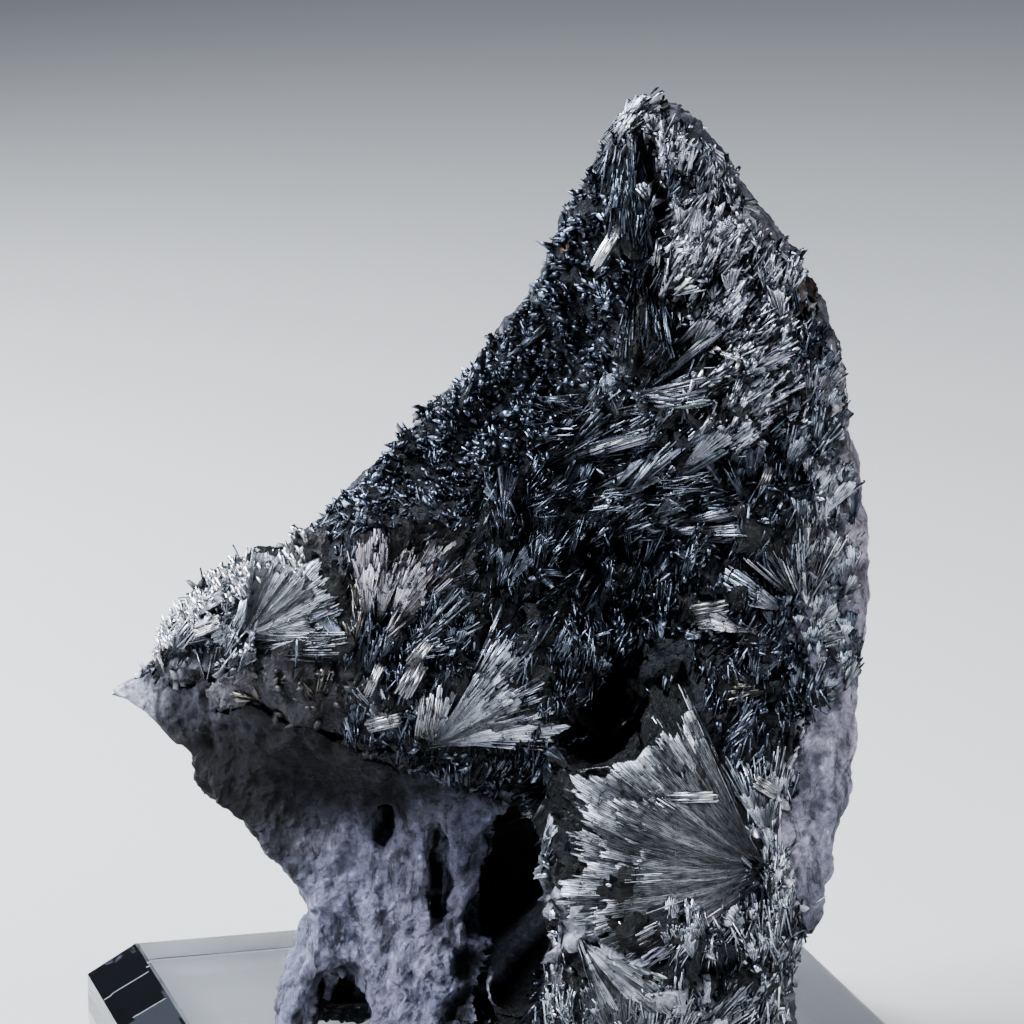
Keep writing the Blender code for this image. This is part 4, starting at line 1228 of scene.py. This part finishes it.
def make_needles(fans, mass_mesh, crust_mesh):
    """Dress the crystal mass with all its needles and grains."""
    mass, crust = search_tree(mass_mesh), search_tree(crust_mesh)
    draw = random.Random(11)
    needles, grains, accents, crumbs, plates = Needles(), Needles(), Needles(), Needles(), Plates()
    flakes = Needles()
    for number, fan in enumerate(fans):
        cover_fan(needles, mass, crust, fan, draw)
        if fan.kind == "druse":
            continue
        lie = lie_of_fan(fan, mass, crust)
        is_named = number < len(FANS)
        layers = PLATE_LAYERS[: 3 if is_named else 2] if fan.kind in LAYERED else PLATE_LAYERS[:1]
        if fan.kind == "silk":
            layers = SILK_LAYERS
        for share, rise in layers:
            if is_named or np.ptp(lie[2]) < STEEP_SHARE * fan.reach:
                add_plate(plates, fan, number, lie, share, rise * (1.0 if is_named else 0.7), draw)
    front, nothing = search_tree(mass_mesh, crust_mesh), search_tree()
    for number, fan in enumerate(named_fans(EDGE_FANS, front, draw) + edge_fillers(crust_mesh, draw)):
        cover_fan(needles, front, nothing, fan, draw)
        add_plate(plates, fan, len(fans) + number, lie_of_fan(fan, front, nothing), 1.0, 0.2, draw)
    add_grains(grains, fans[: len(FANS)], mass_mesh, crust, draw)
    add_sparkles(grains, crust_mesh, draw)
    add_flakes(flakes, fans[: len(FANS)], mass_mesh, crust, draw)
    add_rim(accents, mass, draw)
    add_painted_glint_blades(accents, mass, draw)
    add_bundles(accents, front, draw)
    add_crumbs(crumbs, mass_mesh, crust, draw)
    look = needle_material()
    # The accents piece holds the rim and the broad blades, whose bright colours are painted highlights, and the long
    # bundles
    for name, collected, seed in (("fan_needles", needles, 21), ("druse_grains", grains, 23), ("crystals_with_painted_glints", accents, 24), ("flakes", flakes, 26)):
        print("NEEDLES", name, len(collected.rows))
        for obj in collected.build(name, seed):
            finish_piece(obj, look, "pyrolusite")
    look = plate_material()
    for obj in plates.build("fan_plates"):
        print("PLATES", obj.name, len(obj.data.polygons) * 2)
        finish_piece(obj, look, "pyrolusite")
    look = crumb_material()
    print("NEEDLES crumbs", len(crumbs.rows))
    for obj in crumbs.build("crust_crumbs", 25):
        finish_piece(obj, look, "crust")


# Pieces


def layered_noise(points, *layers):
    """Sum noise over points in millimetres; each layer is a height, a size and a shift."""
    return np.array(
        [
            sum(height * noise.noise(Vector(point) / size + Vector((shift, 0.0, 0.0))) for height, size, shift in layers)
            for point in points
        ]
    )


def region_heights(places):
    """Rough the mass by region: lumpy on the druse, sunk in the voids."""
    coarse = layered_noise(places, (0.9, 2.6, 5.0), (0.5, 1.1, 9.0))
    kinds = [region_at(place[0], place[2])[1] for place in places]
    share = np.array([{"druse": 1.0, "void": 0.0, "crusty": 0.9, "mica": 0.9}.get(kind, 0.35) for kind in kinds])
    masks = [np.array([kind == name for kind in kinds]) for name in ("void", "crusty", "druse")]
    return coarse * share - VOID_SINK * masks[0], *masks


def ridge_share(places, x0, z0, x1, z1, half_width):
    """Give how close places lie to a line on the front, from 0 to 1 on it."""
    step = np.array([x1 - x0, z1 - z0])
    offset = places[:, [0, 2]] - np.array([x0, z0])
    along = np.clip(offset @ step / (step @ step), 0.0, 1.0)
    distance = np.linalg.norm(offset - along[:, None] * step, axis=1)
    return np.exp(-((distance / half_width) ** 2))


def hollow_share(places, x, z, radius):
    """Give how deep places lie in a round hollow of the front, from 0 to 1."""
    distance = np.hypot(places[:, 0] - x, places[:, 2] - z)
    return np.clip(1.5 - distance / radius * 1.5, 0.0, 1.0)


def right_edge(mesh):
    """Measure the right outline of a body: heights and the greatest x near each."""
    places = display_points(mesh)
    levels = np.arange(1.0, 84.0, 2.0)
    near = [places[np.abs(places[:, 2] - level) < 1.0, 0] for level in levels]
    return levels, np.array([values.max() if len(values) else 0.0 for values in near])


def shape_outline(obj, edge):
    """Draw in the right edge, and squeeze the left lobe's end towards a line that runs out to a sharp tip."""
    start, tip, tip_z = LOBE_TIP
    places = display_points(obj.data)
    near = np.clip(1.0 - (np.interp(places[:, 2], *edge) - places[:, 0]) / EDGE_DEPTH, 0.0, 1.0)
    places[:, 0] -= near * np.interp(places[:, 2], *zip(*EDGE_TRIM))
    share = np.clip((start - places[:, 0]) / (start - tip), 0.0, 1.0)[:, None]
    line = np.stack((places[:, 0], np.full(len(places), 0.5), tip_z + (places[:, 0] - tip) * TIP_SLOPE), axis=1)
    places = places + (line - places) * share**1.5 * TIP_SQUEEZE
    places[:, 0] -= 1.2 * share[:, 0] ** 3
    matrix = np.array(TO_WORLD)
    set_points(obj.data, places * MM @ matrix[:3, :3].T + matrix[:3, 3])


def make_mass(crust_mesh, edge):
    """Make the crystal mass's body from its solid, raised along its fans; give it and the fans."""
    mass = welded_copy("crystal_mass", "mass_body")
    remesh(mass, MASS_VOXEL)
    draw = random.Random(3)
    crust = search_tree(crust_mesh)
    named = named_fans(FANS, search_tree(mass.data), draw)
    fans = named + filler_fans(named, crust, draw)
    places = display_points(mass.data)
    normals = normals_of(mass.data) @ np.array(TO_DISPLAY)[:3, :3].T
    facing = (normals[:, 1] < 0.2).astype(float)
    rough, is_void, is_crusty, is_druse = region_heights(places)
    rise, fibre, tint = raise_fans(fans, places, normals, is_void)
    rough = np.where((rise > 0.0) & ~is_druse, rough * 0.3, rough)
    patchy = layered_noise(places, (0.9, 2.2, 0.0), (0.6, 0.8, 7.0))
    creep = np.where(is_crusty, np.clip(0.75 + patchy, 0.0, 1.0), 0.0)
    for index, (place, normal) in enumerate(zip(places, normals)):
        distance = None if is_druse[index] else meets_crust(crust, Vector(place), Vector(normal), 2.5)
        if distance is not None:
            creep[index] = max(creep[index], min(1.0, max(0.0, (1.0 + patchy[index] - distance) / 0.5)))
    heights = MASS_SWELL + rise + rough + layered_noise(places, (0.16, 0.7, 0.0))
    shade = crust_colour_and_painted_light(places)
    # Painted shade: the voids are coloured near black
    tint[is_void] = VOID_PAINTED_SHADE
    for x0, z0, x1, z1, half_width, height, tone in RIDGES:
        share = ridge_share(places, x0, z0, x1, z1, half_width) * facing
        heights += height * share
        creep = np.maximum(creep, np.clip(share * 1.8 - 0.3, 0.0, 1.0))
        shade = shade + (np.array(RIDGE_TINT) * tone - shade) * np.clip(share * 1.8 - 0.3, 0.0, 1.0)[:, None]
    tint = tint + (shade - tint) * creep[:, None]
    # Sink and recolour the hollows; the near-black ones are painted shade
    for x, z, radius, sink, colour in HOLLOWS:
        share = hollow_share(places, x, z, radius) * facing
        heights -= sink * share
        tint = tint + (np.array(colour) - tint) * np.minimum(1.0, share * 2.0)[:, None]
    heights += np.random.default_rng(33).uniform(-MASS_GRAIN, MASS_GRAIN, len(places))
    push_out(mass, heights)
    shape_outline(mass, edge)
    mass.data.shade_flat()
    add_attribute(mass.data, "creep", creep)
    add_attribute(mass.data, "fibre", fibre)
    add_attribute(mass.data, "tint", np.hstack((tint, np.ones((len(tint), 1)))))
    return mass, fans


def add_attribute(mesh, name, values):
    """Store a number, vector or colour for each of a mesh's points."""
    kind, key = {1: ("FLOAT", "value"), 3: ("FLOAT_VECTOR", "vector"), 4: ("FLOAT_COLOR", "color")}[
        1 if values.ndim == 1 else values.shape[1]
    ]
    data = mesh.attributes.new(name, kind, "POINT").data
    data.foreach_set(key, values.astype(np.float32).ravel())


# Colour of the crust by place on the front: x, z, reach of the place, and its colour. Most are the crust's own
# colours; the near-black one under the left lobe is painted shade, and the white one at the lobe's tip a painted
# highlight
CRUST_COLOURS_AND_PAINTED_LIGHT = [
    (30.2, 33.0, 4.0, (0.48, 0.45, 0.50)),
    (30.6, 39.0, 4.0, (0.50, 0.46, 0.50)),
    (30.8, 45.0, 4.0, (0.50, 0.46, 0.50)),
    (30.6, 51.0, 4.0, (0.46, 0.42, 0.45)),
    (26.0, 33.0, 3.0, (0.20, 0.20, 0.24)),
    (26.4, 38.0, 3.0, (0.14, 0.145, 0.18)),
    (26.6, 43.0, 3.0, (0.07, 0.072, 0.09)),
    (26.6, 48.0, 3.0, (0.08, 0.083, 0.10)),
    (26.2, 53.0, 3.0, (0.10, 0.10, 0.12)),
    (25.5, 24.0, 7.0, (0.50, 0.48, 0.55)),
    (24.0, 8.0, 4.0, (0.10, 0.10, 0.12)),
    (29.0, 57.0, 4.0, (0.34, 0.32, 0.34)),
    (25.5, 59.0, 3.0, (0.10, 0.10, 0.12)),
    (24.0, 74.0, 7.0, (0.17, 0.17, 0.19)),
    (13.0, 84.0, 4.0, (0.14, 0.14, 0.16)),
    (-13.0, 8.0, 9.0, (0.32, 0.33, 0.42)),
    (-8.0, 18.0, 4.0, (0.25, 0.26, 0.34)),
    # Painted shade under the left lobe
    (-20.0, 26.0, 8.0, (0.012, 0.0115, 0.0135)),
    (-28.0, 32.0, 4.0, (0.09, 0.085, 0.10)),
    (-33.0, 35.0, 2.5, (0.24, 0.24, 0.29)),
    # Painted highlight on the tip of the left lobe
    (-36.5, 30.5, 2.2, (0.95, 0.95, 1.0)),
    (-10.0, 25.0, 5.0, (0.035, 0.035, 0.044)),
    (-10.0, 50.0, 8.0, (0.07, 0.075, 0.09)),
    (0.0, 66.0, 8.0, (0.05, 0.055, 0.07)),
    (10.0, 45.0, 12.0, (0.17, 0.17, 0.20)),
]
SHADE_SPREAD = 0.6


def crust_colour_and_painted_light(places):
    """Blend the crust's colour, with its painted shade and highlight, from the shades nearest each place."""
    total, colour = np.zeros((len(places), 1)), np.zeros((len(places), 3))
    for x, z, reach, tone in CRUST_COLOURS_AND_PAINTED_LIGHT:
        square = (places[:, 0] - x) ** 2 + (places[:, 2] - z) ** 2
        weight = np.exp(-square / (2.0 * (reach * SHADE_SPREAD) ** 2))[:, None] + 1e-6
        total += weight
        colour += weight * np.array(tone)
    return colour / total


def make_crust():
    """Make the pitted crust from its solid, with its paleness by place and painted shade in its pits, holes and black
    hollows.
    """
    crust = welded_copy("rind", "crust_body")
    remesh(crust, CRUST_VOXEL)
    places = display_points(crust.data)
    streaks = places * np.array([1.0, 1.0, 0.7])
    pits = np.maximum(0.0, layered_noise(streaks, (1.0, 1.9, 40.0)) - 0.15)
    holes = np.maximum(0.0, layered_noise(streaks, (1.0, 0.9, 60.0)) - 0.25)
    heights = CRUST_SWELL + layered_noise(streaks, (0.5, 4.5, 0.0), (0.5, 1.9, 0.0), (0.35, 0.95, 0.0))
    heights = np.minimum(heights, CRUST_RISE) - 0.9 * pits - 0.5 * holes
    # Painted shade: darker where pits and holes sink the crust
    shade = crust_colour_and_painted_light(places) * np.clip(1.0 - 1.6 * (pits + holes), 0.3, 1.0)[:, None]
    normals = normals_of(crust.data) @ np.array(TO_DISPLAY)[:3, :3].T
    facing = (normals[:, 1] < 0.2).astype(float)
    # Sink and recolour the hollows; the near-black ones are painted shade
    for x, z, radius, sink, colour in HOLLOWS:
        share = hollow_share(places, x, z, radius) * facing
        heights -= sink * share
        shade = shade + (np.array(colour) - shade) * np.minimum(1.0, share * 2.0)[:, None]
    heights += np.random.default_rng(31).uniform(-CRUST_GRAIN, CRUST_GRAIN, len(places))
    push_out(crust, heights)
    edge = right_edge(crust.data)
    shape_outline(crust, edge)
    add_attribute(crust.data, "shade", np.hstack((shade, np.ones((len(places), 1)))))
    crust.data.shade_flat()
    return crust, edge


def make_block():
    """Make the block from its solid, with its edges just broken."""
    block = welded_copy("display_base", "acrylic_block")
    modifier = block.modifiers.new("broken edges", "BEVEL")
    modifier.width = 0.35 * MM
    modifier.segments = 2
    modifier.limit_method = "ANGLE"
    bake(block)
    return block


def make_floor():
    """Lay the pale floor under the block."""
    bpy.ops.mesh.primitive_plane_add(size=6.0, location=(0.0, 0.0, -0.02 * MM))
    floor = bpy.context.object
    floor.name = "floor"
    floor.data.materials.append(floor_material())


def area_light(name, place, target, size, power, colour=(1.0, 1.0, 1.0)):
    """Add a square area light that faces a point, both in millimetres of the display frame."""
    data = bpy.data.lights.new(name, "AREA")
    data.shape = "SQUARE"
    data.size = size * MM
    data.energy = power
    data.color = colour
    light = bpy.data.objects.new(name, data)
    bpy.context.scene.collection.objects.link(light)
    start, end = TO_WORLD @ (Vector(place) * MM), TO_WORLD @ (Vector(target) * MM)
    light.location = start
    light.rotation_euler = (end - start).to_track_quat("-Z", "Y").to_euler()


def make_lights():
    """Light the stage softly, brightest from the upper left."""
    world = bpy.data.worlds.new("studio")
    bpy.context.scene.world = world
    world.use_nodes = True
    world.node_tree.nodes["Background"].inputs["Color"].default_value = (0.17, 0.20, 0.26, 1.0)
    world.node_tree.nodes["Background"].inputs["Strength"].default_value = 0.5
    middle = (0.0, 0.0, 40.0)
    area_light("key", (-330.0, -120.0, 420.0), middle, 220.0, 9.5, (0.88, 0.93, 1.0))
    area_light("rim", (-420.0, 260.0, 230.0), middle, 240.0, 7.0, (0.88, 0.93, 1.0))
    area_light("fill", (380.0, -260.0, 300.0), middle, 300.0, 3.6, (0.95, 0.97, 1.0))


def make_camera():
    """Set the camera at the photograph's angle."""
    data = bpy.data.cameras.new("camera")
    data.sensor_width = SENSOR
    data.lens = CAMERA_LENS
    camera = bpy.data.objects.new("camera", data)
    bpy.context.scene.collection.objects.link(camera)
    camera.location = TO_WORLD @ (Vector(CAMERA_PLACE) * MM)
    camera.rotation_euler = (math.pi / 2.0 - CAMERA_PITCH, 0.0, DISPLAY_TURN)
    bpy.context.scene.camera = camera


def main():
    """Dress the frame and set the stage."""
    make_camera()
    make_lights()
    make_floor()
    finish_piece(make_block(), acrylic_material(), "acrylic", "display_base")
    crust, edge = make_crust()
    mass, fans = make_mass(crust.data, edge)
    finish_piece(crust, crust_material(), "crust", "rind")
    finish_piece(mass, body_material(), "pyrolusite", "crystal_mass")
    print("BODIES", len(mass.data.polygons) * 2, len(crust.data.polygons) * 2, len(fans))
    make_needles(fans, mass.data, crust.data)


main()
